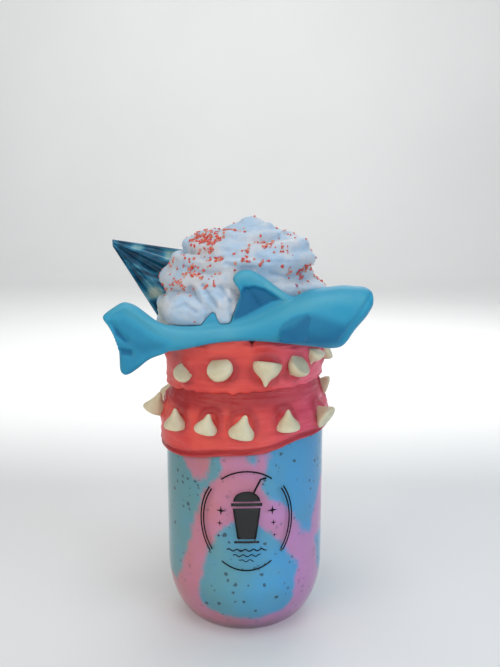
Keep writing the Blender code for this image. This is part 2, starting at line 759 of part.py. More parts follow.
def make_fan(finish):
    mesh = bmesh.new()
    sheets = []
    for side in (-1, 1):
        sheet = []
        for ring in range(FAN_RINGS + 1):
            row = []
            for ray in range(FAN_RAYS + 1):
                place = fan_point(ray / FAN_RAYS, ring / FAN_RINGS, side)
                row.append(mesh.verts.new(place * MM))
            sheet.append(row)
        sheets.append(sheet)
    front, back = sheets
    for ring in range(FAN_RINGS):
        for ray in range(FAN_RAYS):
            corners = ((ring, ray), (ring + 1, ray), (ring + 1, ray + 1), (ring, ray + 1))
            for sheet in sheets:
                quad = [sheet[row][column] for row, column in corners]
                mesh.faces.new((quad[0], quad[1], quad[2]))
                mesh.faces.new((quad[0], quad[2], quad[3]))
    border = [(0, ray) for ray in range(FAN_RAYS)]
    border += [(ring, FAN_RAYS) for ring in range(FAN_RINGS)]
    border += [(FAN_RINGS, ray) for ray in range(FAN_RAYS, 0, -1)]
    border += [(ring, 0) for ring in range(FAN_RINGS, 0, -1)]
    for one, other in zip(border, border[1:] + border[:1]):
        mesh.faces.new((front[one[0]][one[1]], front[other[0]][other[1]],
                        back[other[0]][other[1]], back[one[0]][one[1]]))
    return add_object("candy_fan", mesh, finish)


def main():
    clear_scene()
    finishes = make_materials()
    make_jar(finishes["clear_glass"])
    make_milkshake(finishes["milkshake"])
    shark = make_shark(finishes["gummy_blue"])
    fan = make_fan(finishes["glossy_candy"])
    shark_bed = grown_copy(shark, "cut_shark", BED_GAP)
    fan_bed = grown_copy(fan, "cut_fan", BED_GAP)
    tooth_beds = []
    make_teeth(finishes["white_drop"], tooth_beds)
    icing = make_icing(finishes["icing"])
    subtract(icing, tooth_beds + [shark_bed])
    cream = make_cream(finishes["cream"])
    neck = neck_cutter()
    subtract(cream, [neck, shark_bed, fan_bed])
    add_sprinkles(cream, [shark, fan])
    for cutter in tooth_beds + [shark_bed, fan_bed, neck]:
        bpy.data.objects.remove(cutter)


main()
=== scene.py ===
import math
import random
from functools import partial

import bmesh
import bpy
import numpy as np
from mathutils import Matrix, Vector, noise


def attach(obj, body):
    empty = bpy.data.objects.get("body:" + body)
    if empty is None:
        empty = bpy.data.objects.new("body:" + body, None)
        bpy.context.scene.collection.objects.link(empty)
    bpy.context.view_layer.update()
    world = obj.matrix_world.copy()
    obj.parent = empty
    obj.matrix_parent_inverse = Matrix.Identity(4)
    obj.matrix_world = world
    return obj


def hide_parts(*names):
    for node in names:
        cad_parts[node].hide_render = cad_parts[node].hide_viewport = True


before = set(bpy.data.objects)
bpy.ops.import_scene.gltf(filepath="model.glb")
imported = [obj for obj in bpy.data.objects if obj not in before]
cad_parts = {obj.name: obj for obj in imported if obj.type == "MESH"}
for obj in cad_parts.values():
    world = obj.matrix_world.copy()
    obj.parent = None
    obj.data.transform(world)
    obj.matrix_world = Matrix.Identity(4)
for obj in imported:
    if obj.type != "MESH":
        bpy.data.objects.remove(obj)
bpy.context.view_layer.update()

# Everything below is in millimetres until a mesh is made; azimuth 0 is the front, positive to the right.
mm = 0.001

jarSizes = {
    "radius": 40.0, "wall": 2.6, "foot": 23.0, "heel": 31.0, "floor": 5.0, "innerFoot": 16.0,
    "shoulderStart": 104.0, "shoulderEnd": 122.0, "neck": 33.0, "height": 146.0, "segments": 144,
}


def blend(a, b, share):
    return a + (b - a) * share


def smoothShare(value, low, high):
    share = min(max((value - low) / (high - low), 0), 1)
    return share * share * (3 - 2 * share)


def outward(azimuth):
    angle = math.radians(azimuth)
    return Vector((math.sin(angle), -math.cos(angle), 0))


def splinePoints(points, steps):
    # a smooth curve through every point of an open list of number tuples
    padded = [points[0]] + list(points) + [points[-1]]
    curve = []
    for index in range(len(points) - 1):
        before, start, end, after = padded[index:index + 4]
        for step in range(steps):
            t = step / steps
            curve.append(tuple(
                0.5 * (2 * b + (c - a) * t + (2 * a - 5 * b + 4 * c - d) * t * t + (3 * b - a - 3 * c + d) * t ** 3)
                for a, b, c, d in zip(before, start, end, after)))
    curve.append(tuple(points[-1]))
    return curve


def splineLoop(points, steps):
    # the same through a closed outline
    around = list(points[-2:]) + list(points) + list(points[:2])
    curve = splinePoints(around, steps)
    return curve[2 * steps:-2 * steps - 1]


def softStep(values, low, high):
    # smoothShare for arrays
    share = np.clip((values - low) / (high - low), 0, 1)
    return share * share * (3 - 2 * share)


def linearFromHex(text):
    # sRGB hex to the linear values that shaders take
    channels = [int(text[start:start + 2], 16) / 255 for start in (0, 2, 4)]
    linear = [value / 12.92 if value <= 0.04045 else ((value + 0.055) / 1.055) ** 2.4 for value in channels]
    return (*linear, 1.0)


def addNode(tree, kind, values=None, stops=(), **settings):
    # settings are the node's own properties and stops a ramp's (place, hex colour); values are its sockets, where
    # another node's socket is linked and a hex colour is made linear
    node = tree.nodes.new(kind)
    for name, setting in settings.items():
        setattr(node, name, setting)
    for _ in stops[2:]:
        node.color_ramp.elements.new(0.5)
    for element, (place, colour) in zip(node.color_ramp.elements if stops else (), stops):
        element.position = place
        element.color = linearFromHex(colour)
    for socket, value in (values or {}).items():
        if isinstance(value, bpy.types.NodeSocket):
            tree.links.new(value, node.inputs[socket])
        elif isinstance(value, str) and node.inputs[socket].type == "RGBA":
            node.inputs[socket].default_value = linearFromHex(value)
        else:
            node.inputs[socket].default_value = value
    return node


def startMaterial(name):
    # a new material, what adds a node to it, and the place on the object that its patterns read
    finish = bpy.data.materials.new(name)
    finish.use_nodes = True
    finish.node_tree.nodes.clear()
    add = partial(addNode, finish.node_tree)
    return finish, add, add("ShaderNodeTexCoord").outputs["Object"]


def newItem(name, data):
    item = bpy.data.objects.new(name, data)
    bpy.context.scene.collection.objects.link(item)
    return item


def finishMesh(name, data, finish):
    data.name = name
    data.materials.clear()
    data.materials.append(finish)
    data.shade_smooth()
    return newItem(name, data)


def storeValues(data, name, values):
    # one number at each corner, for a material or a scatter to read
    layer = data.attributes.new(name, "FLOAT", "POINT")
    layer.data.foreach_set("value", np.asarray(values, dtype=np.float32))


def meshFromBm(name, shape, finish):
    data = bpy.data.meshes.new(name)
    shape.to_mesh(data)
    shape.free()
    return finishMesh(name, data, finish)


def joinRings(shape, one, other):
    count = len(one)
    for index in range(count):
        following = (index + 1) % count
        shape.faces.new((one[index], one[following], other[following], other[index]))


def addShape(shape, other):
    # the other shape joins this one as it stands
    spare = bpy.data.meshes.new("spare")
    bmesh.ops.recalc_face_normals(other, faces=other.faces)
    other.to_mesh(spare)
    other.free()
    shape.from_mesh(spare)
    bpy.data.meshes.remove(spare)


def turned(profile, segments):
    # a body turned from (radius, height) pairs; the ends on the axis become single points
    shape = bmesh.new()
    columns = []
    for radius, height in profile:
        if radius < 0.001:
            columns.append([shape.verts.new((0, 0, height * mm))])
            continue
        ring = []
        for step in range(segments):
            place = outward(360 * step / segments) * radius + Vector((0, 0, height))
            ring.append(shape.verts.new(place * mm))
        columns.append(ring)
    for one, other in zip(columns, columns[1:]):
        if len(one) == 1 or len(other) == 1:
            point, ring = (one[0], other) if len(one) == 1 else (other[0], one)
            for index in range(len(ring)):
                shape.faces.new((point, ring[index], ring[(index + 1) % len(ring)]))
        else:
            joinRings(shape, one, other)
    bmesh.ops.recalc_face_normals(shape, faces=shape.faces)
    return shape


def bakedMesh(item):
    graph = bpy.context.evaluated_depsgraph_get()
    return bpy.data.meshes.new_from_object(item.evaluated_get(graph))


def scratchObject(name, shape):
    data = bpy.data.meshes.new(name)
    bmesh.ops.recalc_face_normals(shape, faces=shape.faces)
    shape.to_mesh(data)
    shape.free()
    return newItem(name, data)


def skinned(shape, name, voxel, smoothing):
    # one skin round overlapping closed bodies
    item = scratchObject(name, shape)
    skin = item.modifiers.new("skin", "REMESH")
    skin.mode = "VOXEL"
    skin.voxel_size = voxel * mm
    relax = item.modifiers.new("relax", "SMOOTH")
    relax.factor = 0.5
    relax.iterations = smoothing
    data = bakedMesh(item)
    bpy.data.objects.remove(item)
    return data


def meshPlaces(data):
    places = np.empty(len(data.vertices) * 3, dtype=np.float64)
    data.vertices.foreach_get("co", places)
    return places.reshape(-1, 3)


def meshNormals(data):
    normals = np.empty(len(data.vertices) * 3, dtype=np.float64)
    data.vertex_normals.foreach_get("vector", normals)
    return normals.reshape(-1, 3)


def moveMesh(data, places):
    data.vertices.foreach_set("co", places.reshape(-1))
    data.update()


def grownCopy(data, name, amount):
    # a copy whose surface stands out by an amount, for cutting the bed of a piece
    copy = data.copy()
    moveMesh(copy, meshPlaces(copy) + meshNormals(copy) * amount * mm)
    return newItem(name, copy)


def subtract(data, cutter):
    item = newItem("cutItem", data)
    cut = item.modifiers.new("cut", "BOOLEAN")
    cut.operation = "DIFFERENCE"
    cut.object = cutter
    cut.solver = "MANIFOLD"
    result = bakedMesh(item)
    bpy.data.objects.remove(item)
    return result


def closestOnLine(places, line):
    # distance of each 2-D place to a broken line
    best = np.full(len(places), 1e9)
    for start, end in zip(line, line[1:]):
        start, end = np.array(start, dtype=float), np.array(end, dtype=float)
        run = end - start
        share = np.clip(((places - start) @ run) / (run @ run), 0, 1)
        gap = places - start - share[:, None] * run
        best = np.minimum(best, np.hypot(gap[:, 0], gap[:, 1]))
    return best


def outlineDistance(places, outline):
    # distance to a closed outline, positive inside it
    inside = np.zeros(len(places), dtype=bool)
    x, y = places[:, 0], places[:, 1]
    for (x0, y0), (x1, y1) in zip(outline, outline[1:] + outline[:1]):
        crosses = (y0 > y) != (y1 > y)
        rise = (y1 - y0) or 1e-9
        inside ^= crosses & (x < (x1 - x0) * (y - y0) / rise + x0)
    distance = closestOnLine(places, outline + outline[:1])
    return np.where(inside, distance, -distance)


def jarOutside(height):
    start, end = jarSizes["shoulderStart"], jarSizes["shoulderEnd"]
    share = min(max((height - start) / (end - start), 0), 1)
    return jarSizes["neck"] + (jarSizes["radius"] - jarSizes["neck"]) * (1 + math.cos(math.pi * share)) / 2


def heelPoints(foot, side, floor, top, steps):
    points = []
    for step in range(steps + 1):
        angle = math.pi / 2 * step / steps
        points.append((foot + (side - foot) * math.sin(angle), top - (top - floor) * math.cos(angle)))
    return points


def wallPoints(inset, steps=24):
    points = []
    for step in range(steps + 1):
        height = blend(jarSizes["shoulderStart"], jarSizes["shoulderEnd"], step / steps)
        points.append((jarOutside(height) - inset, height))
    return points


def jarInside(clearance, top):
    side = jarSizes["radius"] - jarSizes["wall"] - clearance
    floor = jarSizes["floor"] + clearance
    points = [(0, floor)]
    points += heelPoints(jarSizes["innerFoot"], side, floor, jarSizes["heel"], 24)
    points += wallPoints(jarSizes["wall"] + clearance)
    points.append((jarSizes["neck"] - jarSizes["wall"] - clearance, top))
    return points


def pressedGlass():
    # soda-lime jar glass, pressed and fire polished: clear, sharp reflections, faintly green at the edges
    finish, add, place = startMaterial("pressedSodaLimeGlass")
    uneven = add("ShaderNodeTexNoise", {"Vector": place, "Scale": 1 / (22 * mm), "Detail": 1.0, "Roughness": 0.55})
    ripple = add("ShaderNodeBump", {"Height": uneven.outputs["Fac"], "Distance": 0.12 * mm})
    glass = add("ShaderNodeBsdfPrincipled", {
        "Base Color": "F4FAF8", "Roughness": 0.02, "IOR": 1.46, "Transmission Weight": 1.0,
        "Normal": ripple.outputs[0]})
    clear = add("ShaderNodeBsdfTransparent", {"Color": (0.97, 0.985, 0.98, 1)})
    shadow = add("ShaderNodeLightPath").outputs["Is Shadow Ray"]
    both = add("ShaderNodeMixShader", {0: shadow, 1: glass.outputs[0], 2: clear.outputs[0]})
    add("ShaderNodeOutputMaterial", {"Surface": both.outputs[0]})
    return finish


def makeJar():
    rim = jarSizes["wall"] / 2
    rimCentre = jarSizes["neck"] - rim
    profile = [(0, 0)]
    profile += heelPoints(jarSizes["foot"], jarSizes["radius"], 0, jarSizes["heel"], 24)
    profile += wallPoints(0)
    for step in range(13):
        angle = math.pi * step / 12
        profile.append((rimCentre + rim * math.cos(angle), jarSizes["height"] - rim + rim * math.sin(angle)))
    profile += reversed(jarInside(0, jarSizes["height"] - rim)[:-1])
    jar = meshFromBm("glassJar", turned(profile, jarSizes["segments"]), pressedGlass())
    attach(jar, "root")
    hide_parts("jar")
    print("jar made")


# Milkshake: the drink fills the jar and reaches just into its wall.
shakeLook = {
    "intoWall": 0.12, "top": 138.0, "segments": 240, "rings": 150,
    # the plain pink and blue are the cool-lit copies for the right side and the warm ones the warm-lit copies for
    # the left side: painted lamp colour
    "pink": "CE8CC0", "pinkWarmLit": "CC7E8E", "blue": "48A4D4", "blueWarmLit": "609EAC", "speck": "1E3C48",
    "speckCell": 3.2, "speckWarp": 1.6, "speckSize": (-0.1, 0.42),
    "fieldReach": 9, "backStart": 80, "backBlend": 28, "backTwist": 0.25, "backSpan": 30, "backDepth": 22,
}
# How far the border between the colours wanders: size of the waves and reach, both in millimetres.
borderWaves = [(9, 1.4), (1.2, 0.8)]

# Where the pale blue lies, as outlines of (azimuth, height); the rest is pink.
blueFields = [
    [(-112, 112), (-50, 112), (-50, 92), (-46, 88), (-40, 83), (-33, 83), (-29, 85), (-26, 89), (-23, 95),
     (-22, 112), (-16, 112), (-16, 90), (-20, 85), (-30, 79), (-34, 72), (-38, 65), (-43, 53), (-49, 42),
     (-54, 31), (-63, 23), (-76, 24), (-92, 30), (-112, 40)],
    [(2, 112), (9, 112), (9, 98), (7, 93), (3, 94), (2, 98)],
    [(18, 112), (18, 99), (16, 90), (12, 84), (13, 79), (18, 75), (25, 72), (34, 67), (38, 65), (43, 58),
     (46, 54), (57, 52), (64, 64), (74, 74), (92, 80), (112, 86), (112, 112)],
    [(66, 46), (78, 47), (110, 56), (110, 30), (82, 20), (70, 30)],
    [(-10, 63), (-1, 65.5), (7, 64), (16, 59), (26, 53), (32, 48), (37, 42), (44, 36), (42, 32), (40, 24),
     (39, 17), (33, 13), (20, 11.5), (0, 11), (-16, 11.5), (-28, 14), (-35, 18), (-35, 26), (-32, 36),
     (-29, 43), (-26, 48), (-22, 55), (-15, 60)],
]


def swirlField(azimuths, heights):
    # millimetres to the nearest border of the blue, positive in it; outlines in front, soft blobs behind
    reach = jarSizes["radius"] * math.pi / 180
    places = np.stack([azimuths * reach, heights], axis=1)
    front = np.full(len(places), -1e9)
    for outline in blueFields:
        scaled = [(azimuth * reach, height) for azimuth, height in outline]
        front = np.maximum(front, outlineDistance(places, scaled))
    front = np.clip(front, -shakeLook["fieldReach"], shakeLook["fieldReach"])
    back = np.empty(len(places))
    for index, (azimuth, height) in enumerate(zip(azimuths, heights)):
        spot = outward(azimuth + height * shakeLook["backTwist"]) * 1.5
        spot += Vector((0.3, 0.8, height / shakeLook["backSpan"]))
        back[index] = shakeLook["backDepth"] * noise.noise(spot) + 1.0
    share = np.clip((np.abs(azimuths) - shakeLook["backStart"]) / shakeLook["backBlend"], 0, 1)
    return front * (1 - share) + back * share


def swirledShake():
    # thick ice-cream shake: matt through the glass, two colours that meet in soft edges, cookie specks; painted lamp
    # colour turns each colour from a warm-lit copy on the left to a cool-lit copy on the right
    finish, add, place = startMaterial("swirledIceCreamShake")
    smooth = {"interpolation_type": "SMOOTHSTEP"}
    border = add("ShaderNodeAttribute", attribute_name="swirl").outputs["Fac"]
    for size, reach in borderWaves:
        wave = add("ShaderNodeTexNoise", {
            "Vector": place, "Scale": 1 / (size * mm), "Detail": 2.0, "Roughness": 0.55}).outputs["Fac"]
        wave = add("ShaderNodeMapRange", {
            "Value": wave, "From Min": 0.2, "From Max": 0.8, "To Min": -reach, "To Max": reach}, **smooth).outputs[0]
        border = add("ShaderNodeMath", {0: border, 1: wave}, operation="ADD").outputs[0]
    inBlue = add("ShaderNodeMapRange", {"Value": border, "From Min": -2.0, "From Max": 2.0}, **smooth).outputs[0]
    streaks = add("ShaderNodeTexNoise", {
        "Vector": place, "Scale": 1 / (16 * mm), "Detail": 4.0, "Roughness": 0.6}).outputs["Fac"]
    streaks = add("ShaderNodeMapRange", {
        "Value": streaks, "From Min": 0.2, "From Max": 0.8, "To Min": -0.35, "To Max": 0.35}, **smooth).outputs[0]
    # painted lamp colour: the warm-lit copies on the left fade to the cool-lit copies on the right, broken by
    # streaks
    across = add("ShaderNodeSeparateXYZ", {0: place}).outputs["X"]
    across = add("ShaderNodeMapRange", {
        "Value": across, "From Min": -34 * mm, "From Max": 34 * mm}, **smooth).outputs[0]
    side = add("ShaderNodeMath", {0: across, 1: streaks}, operation="ADD", use_clamp=True).outputs[0]
    pink, blue = (add("ShaderNodeMix", {0: side, 6: shakeLook[name + "WarmLit"], 7: shakeLook[name]},
                      data_type="RGBA").outputs[2] for name in ("pink", "blue"))
    swirl = add("ShaderNodeMix", {0: inBlue, 6: pink, 7: blue}, data_type="RGBA").outputs[2]
    warp = add("ShaderNodeTexNoise", {"Vector": place, "Scale": 900.0, "Detail": 2.0}).outputs["Color"]
    warp = add("ShaderNodeVectorMath", {0: warp, "Scale": shakeLook["speckWarp"] * mm}, operation="SCALE").outputs[0]
    warped = add("ShaderNodeVectorMath", {0: place, 1: warp}, operation="ADD").outputs[0]
    cells = add("ShaderNodeTexVoronoi", {
        "Vector": warped, "Scale": 1 / (shakeLook["speckCell"] * mm), "Randomness": 1.0})
    least, most = shakeLook["speckSize"]
    size = add("ShaderNodeMapRange", {
        "Value": cells.outputs["Color"], "To Min": least, "To Max": most}, **smooth).outputs[0]
    inside = add("ShaderNodeMath", {0: size, 1: cells.outputs["Distance"]}, operation="SUBTRACT").outputs[0]
    inside = add("ShaderNodeMapRange", {"Value": inside, "From Max": 0.16}, **smooth).outputs[0]
    share = add("ShaderNodeMapRange", {"Value": inBlue, "To Min": 0.3, "To Max": 0.85}, **smooth).outputs[0]
    speck = add("ShaderNodeMath", {0: inside, 1: share}, operation="MULTIPLY").outputs[0]
    colour = add("ShaderNodeMix", {0: speck, 6: swirl, 7: shakeLook["speck"]}, data_type="RGBA").outputs[2]
    surface = add("ShaderNodeBsdfPrincipled", {
        "Base Color": colour, "Roughness": 0.5, "IOR": 1.4, "Subsurface Weight": 0.15,
        "Subsurface Radius": (0.004, 0.003, 0.003), "Subsurface Scale": 0.4})
    add("ShaderNodeOutputMaterial", {"Surface": surface.outputs[0]})
    return finish


def evenLine(points, count):
    # the same line with evenly spaced points
    line = np.array(points, dtype=float)
    gaps = np.hypot(*np.diff(line, axis=0).T)
    run = np.concatenate([[0], np.cumsum(gaps)])
    spots = np.linspace(0, run[-1], count)
    radii, heights = (np.interp(spots, run, line[:, column]) for column in (0, 1))
    return [(float(radius), float(height)) for radius, height in zip(radii, heights)]


def makeShake():
    top = shakeLook["top"]
    profile = evenLine(jarInside(-shakeLook["intoWall"], top), shakeLook["rings"]) + [(15, top), (0, top)]
    shake = meshFromBm("shakeFill", turned(profile, shakeLook["segments"]), swirledShake())
    places = meshPlaces(shake.data) / mm
    azimuths = np.degrees(np.arctan2(places[:, 0], -places[:, 1]))
    storeValues(shake.data, "swirl", swirlField(azimuths, places[:, 2]))
    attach(shake, "root")
    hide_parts("milkshake")
    print("milkshake made")


# Icing: one collar in two bands, smeared on with a knife.
icingSizes = {
    "segments": 420, "edge": 98.0, "tilt": 6.4, "crease": 126.0, "creaseFront": 1.8, "creaseSide": 2.2,
    "lower": 42.3, "slope": 118.5, "creaseRadius": 36.4, "upper": 38.7, "top": 151.0, "topFront": 1.4,
    "inner": 30.6,
    "lump": (0.7, 13.0), "edgeWave": (1.6, 22.0), "creaseWave": (1.2, 12.0), "topWave": (1.6, 9.0),
    # rimShade, strokeShade, the lip values and shadeBelow place painted shade on the collar
    "stroke": 0.5, "fine": 0.16, "rimHeight": 0.9, "rimRadius": 6.0, "rimWidth": 1.5, "rimShade": 0.6,
    "clearance": 0.3, "strokeShade": 0.45, "lipShadeCentre": 2.3, "lipShadeWidth": 2.1, "shadeBelow": (12, 4),
}
# base and thick are the colours as the warm lamp on the left lights them, the other two the same as the cool lamp on
# the right lights them: painted lamp colour
# deep is the painted shade colour for the crease, the lip's groove, the teeth's rims and sunk strokes
icingColours = {"base": "E8584F", "thick": "DC4A48", "deep": "A42A33", "light": "EE7A72",
                "baseRight": "F2667E", "thickRight": "E65871"}

# Knife strokes: azimuth, height, half length in degrees, half width, how far they stand out, slope; the sunk ones
# also get painted shade.
knifeStrokes = [
    (-30, 148.5, 26, 1.6, 0.9, -0.05), (8, 150.0, 16, 1.8, 1.1, 0.06), (30, 147.4, 20, 1.4, 0.8, -0.08),
    (-8, 144.4, 24, 1.0, -0.6, 0.03), (-34, 141.0, 18, 0.9, 0.5, 0.04), (26, 142.6, 26, 1.0, 0.5, 0.05),
    (-20, 132.0, 30, 1.3, 0.8, -0.03), (22, 131.2, 24, 1.2, 0.7, 0.05), (-44, 130.2, 14, 1.0, -0.6, 0.06),
    (0, 134.6, 40, 0.9, -0.5, 0.02), (-26, 105.5, 34, 1.4, -0.5, 0.06), (24, 109.0, 30, 1.3, -0.45, 0.1),
    (-60, 103.0, 26, 1.5, 0.5, 0.02), (70, 112.0, 26, 1.6, -0.5, 0.02), (120, 106, 30, 1.5, 0.6, -0.04),
    (170, 141, 32, 1.6, 0.7, 0.05), (215, 104, 30, 1.6, -0.6, 0.05), (250, 136, 26, 1.4, 0.7, -0.05),
    (130, 146, 26, 1.5, -0.6, 0.04), (185, 118, 24, 1.4, 0.5, 0.06),
    (-66, 147.5, 14, 4, -1.0, 0), (-30, 137.6, 9, 4.2, -0.9, 0), (-1, 139, 9, 4.6, -0.8, 0),
    (-58, 142, 12, 4.4, -0.9, 0), (25.5, 134, 7, 3.6, -0.6, 0), (100, 140, 12, 4.4, -0.8, 0),
    (150, 136, 10, 4, -0.7, 0), (205, 142, 12, 4.4, -0.8, 0), (-110, 137, 12, 4, -0.7, 0),
]

# Lumps and gaps along the top in front: azimuth, half width in degrees, height.
topLumps = [(-20, 8, 1.0), (-3, 6, 1.4), (5.5, 1.6, -2.4), (15, 8, 1.6), (26, 3, 0.6), (35, 2.6, -1.8),
            (-42, 5, -1.4)]

# Teeth: azimuth, height, lean out of the wall, lean to the right, size, distance from the jar's axis.
toothSizes = {
    "upperProfile": [(5.2, 0.0), (5.8, 0.35), (6.0, 1.0), (6.0, 2.0), (5.6, 3.2), (4.8, 4.5), (3.6, 5.7),
                     (2.3, 6.7), (1.4, 7.8), (0.9, 8.9), (0.55, 9.7), (0.25, 10.0)],
    "lowerProfile": [(5.4, 0.0), (5.9, 0.3), (6.0, 0.9), (5.7, 1.9), (4.85, 3.1), (3.85, 4.3), (2.95, 5.5),
                     (2.2, 6.7), (1.6, 7.9), (1.15, 9.0), (0.7, 9.8), (0.3, 10.05)],
    "middle": 3.8, "segments": 28, "upperHidden": 6, "lowerHidden": 5, "upperHeight": 138.5, "lowerHeight": 113.5,
    "upperRadius": 40.4, "lowerRadius": 44.6, "lean": (-34, 12), "turn": 20, "shift": 3, "size": (0.92, 1.08),
    "seed": 5, "length": 10, "bend": 0.7, "wobble": 0.09, "bendSeed": 31,
}
upperShown = [(-78, 145.2, -40, 10, 0.85, 38.6), (-45, 134.0, -32, -40, 0.78, 40.4),
              (-14.7, 138.0, -42, 8, 1.0, 40.8), (14.6, 138.2, 14, -10, 1.12, 41.0),
              (36.2, 138.4, -46, -24, 0.96, 40.8), (55, 142.2, -18, -12, 0.84, 40.0),
              (80, 140.6, -62, -6, 0.88, 39.4)]
lowerShown = [(-86, 112.2, -22, 4, 1.04, 44.5), (-48, 112.2, 6, 8, 0.92, 44.0), (-22.8, 113.6, 4, 15, 0.9, 44.4),
              (-1, 113.2, 8, 9, 1.03, 44.8), (27.2, 114.4, 4, -8, 0.92, 44.2),
              (61, 112.6, -60, 10, 1.02, 42.8), (92, 121.5, -70, 0, 0.85, 38.8)]


def toothRow(shown, label, rng):
    row = list(shown)
    hidden, height, radius = (toothSizes[label + part] for part in ("Hidden", "Height", "Radius"))
    first, last = shown[-1][0], shown[0][0] + 360
    for step in range(1, hidden + 1):
        azimuth = blend(first, last, step / (hidden + 1)) + rng.uniform(-toothSizes["shift"], toothSizes["shift"])
        leanOut = rng.uniform(*toothSizes["lean"])
        leanSide = rng.uniform(-toothSizes["turn"], toothSizes["turn"])
        size = rng.uniform(*toothSizes["size"])
        row.append((azimuth, height + rng.uniform(-1, 1), leanOut, leanSide, size, radius))
    return row


def toothRows():
    rng = random.Random(toothSizes["seed"])
    upper = toothRow(upperShown, "upper", rng)
    lower = toothRow(lowerShown, "lower", rng)
    return upper, lower


def toothMatrix(entry, sign):
    azimuth, height, leanOut, leanSide, size, radius = entry
    out = outward(azimuth)
    side = Vector((-out.y, out.x, 0))
    leanOut, leanSide = math.radians(leanOut), math.radians(leanSide)
    along = Vector((0, 0, sign * math.cos(leanSide))) + side * math.sin(leanSide)
    axis = (out * math.sin(leanOut) + along * math.cos(leanOut)).normalized()
    base = out * radius + Vector((0, 0, height)) - axis * toothSizes["middle"] * size
    turn = axis.to_track_quat("Z", "X").to_matrix().to_4x4()
    return Matrix.Translation(base * mm) @ turn @ Matrix.Scale(size, 4)


def ivoryDrop():
    # white chocolate drop: ivory, waxy satin, light sinks in a little
    finish, add, place = startMaterial("whiteChocolateDrop")
    clouds, dents = (add("ShaderNodeTexNoise", {
        "Vector": place, "Scale": 1 / (size * mm), "Detail": 3.0, "Roughness": 0.55}).outputs["Fac"]
        for size in (5, 2.2))
    colour = add("ShaderNodeValToRGB", {"Fac": clouds}, [(0.3, "DED6BA"), (0.7, "D2C8A6")])
    relief = add("ShaderNodeBump", {"Height": dents, "Distance": 0.25 * mm})
    surface = add("ShaderNodeBsdfPrincipled", {
        "Base Color": colour.outputs[0], "Roughness": 0.38, "IOR": 1.45, "Subsurface Weight": 0.3,
        "Subsurface Radius": (0.003, 0.0024, 0.0016), "Subsurface Scale": 0.6, "Normal": relief.outputs[0]})
    add("ShaderNodeOutputMaterial", {"Surface": surface.outputs[0]})
    return finish


def makeTeeth():
    finish = ivoryDrop()
    sizes = toothSizes
    rng = random.Random(sizes["bendSeed"])
    upper, lower = toothRows()
    rows = [("teethUpper", "tooth_upper", upper, "upper", -1), ("teethLower", "tooth_lower", lower, "lower", 1)]
    for name, label, row, kind, sign in rows:
        whole = bmesh.new()
        profile = [(0, 0.0)] + sizes[kind + "Profile"] + [(0, sizes["length"] + 0.1)]
        for entry in row:
            drop = turned(profile, sizes["segments"])
            bend = Vector((rng.uniform(-1, 1), rng.uniform(-1, 1), 0)) * sizes["bend"] * mm
            seed = Vector((rng.uniform(0, 50), rng.uniform(0, 50), 0))
            for corner in drop.verts:
                rise = corner.co.z / (sizes["length"] * mm)
                wobble = 1 + sizes["wobble"] * noise.noise(corner.co * 240 + seed)
                corner.co.x = corner.co.x * wobble + bend.x * rise * rise
                corner.co.y = corner.co.y * wobble + bend.y * rise * rise
            bmesh.ops.transform(drop, matrix=toothMatrix(entry, sign), verts=drop.verts)
            addShape(whole, drop)
        piece = meshFromBm(name, whole, finish)
        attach(piece, "root")
        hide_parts(*[f"{label}_{number:02d}" for number in range(1, len(row) + 1)])
    print("teeth made")


def lump(azimuth, height, wave):
    amount, size = wave
    return amount * noise.noise((outward(azimuth) * jarSizes["radius"] + Vector((0, 0, height))) / size)


def icingOutline(azimuth):
    # the shown side of the collar at one azimuth, from its lower edge up and over the rim
    turn = math.radians(azimuth)
    sizes = icingSizes
    edge = sizes["edge"] + sizes["tilt"] * math.sin(turn) + lump(azimuth, 0, sizes["edgeWave"])
    crease = sizes["crease"] + sizes["creaseFront"] * math.cos(turn) + sizes["creaseSide"] * math.sin(turn)
    crease += lump(azimuth, 300, sizes["creaseWave"]) + lump(azimuth, 450, (0.9, 3.6))
    top = sizes["top"] + sizes["topFront"] * max(0, math.cos(turn)) ** 3 + lump(azimuth, 600, sizes["topWave"])
    for middle, width, amount in topLumps:
        top += amount * math.exp(-((azimuth - middle) / width) ** 2)
    low, high, slope = sizes["lower"], sizes["upper"], sizes["slope"]
    deep = sizes["creaseRadius"]
    outer = [
        (low - 1.8, edge), (low - 0.4, edge + 0.7), (low + 0.4, edge + 1.6), (low - 0.5, edge + 2.9),
        (low + 0.2, edge + 4.2), (low + 0.2, edge + 6.0), (low - 0.3, blend(edge + 5, slope, 0.45)),
        (low - 1.5, blend(edge + 5, slope, 0.72)), (low - 3.2, slope), (deep + 1.1, crease - 3.6),
        (deep, crease - 1.2), (deep + 0.3, crease - 0.5), (high - 0.7, crease), (high + 0.3, crease + 1.2),
        (high + 0.4, crease + 2.6), (high + 0.8, blend(crease, top, 0.5)), (high + 1.5, top - 4.2),
        (high + 1.2, top - 2.2), (high + 0.2, top - 0.7), (high - 3.0, top + 0.2),
    ]
    return edge, crease, splinePoints(outer, 8)


def knifeRelief(azimuth, height):
    # how far the strokes stand out at one place, and how much shade the sunk ones give it
    relief, shade = 0, 0
    for strokeAz, strokeZ, reach, width, amount, slope in knifeStrokes:
        across = ((azimuth - strokeAz + 180) % 360 - 180) / reach
        if abs(across) < 1:
            away = (height - strokeZ - slope * across * reach) / width
            raised = amount * math.exp(-away * away) * (1 - across * across)
            relief += raised
            shade -= icingSizes["strokeShade"] * min(raised, 0)
    return relief, shade


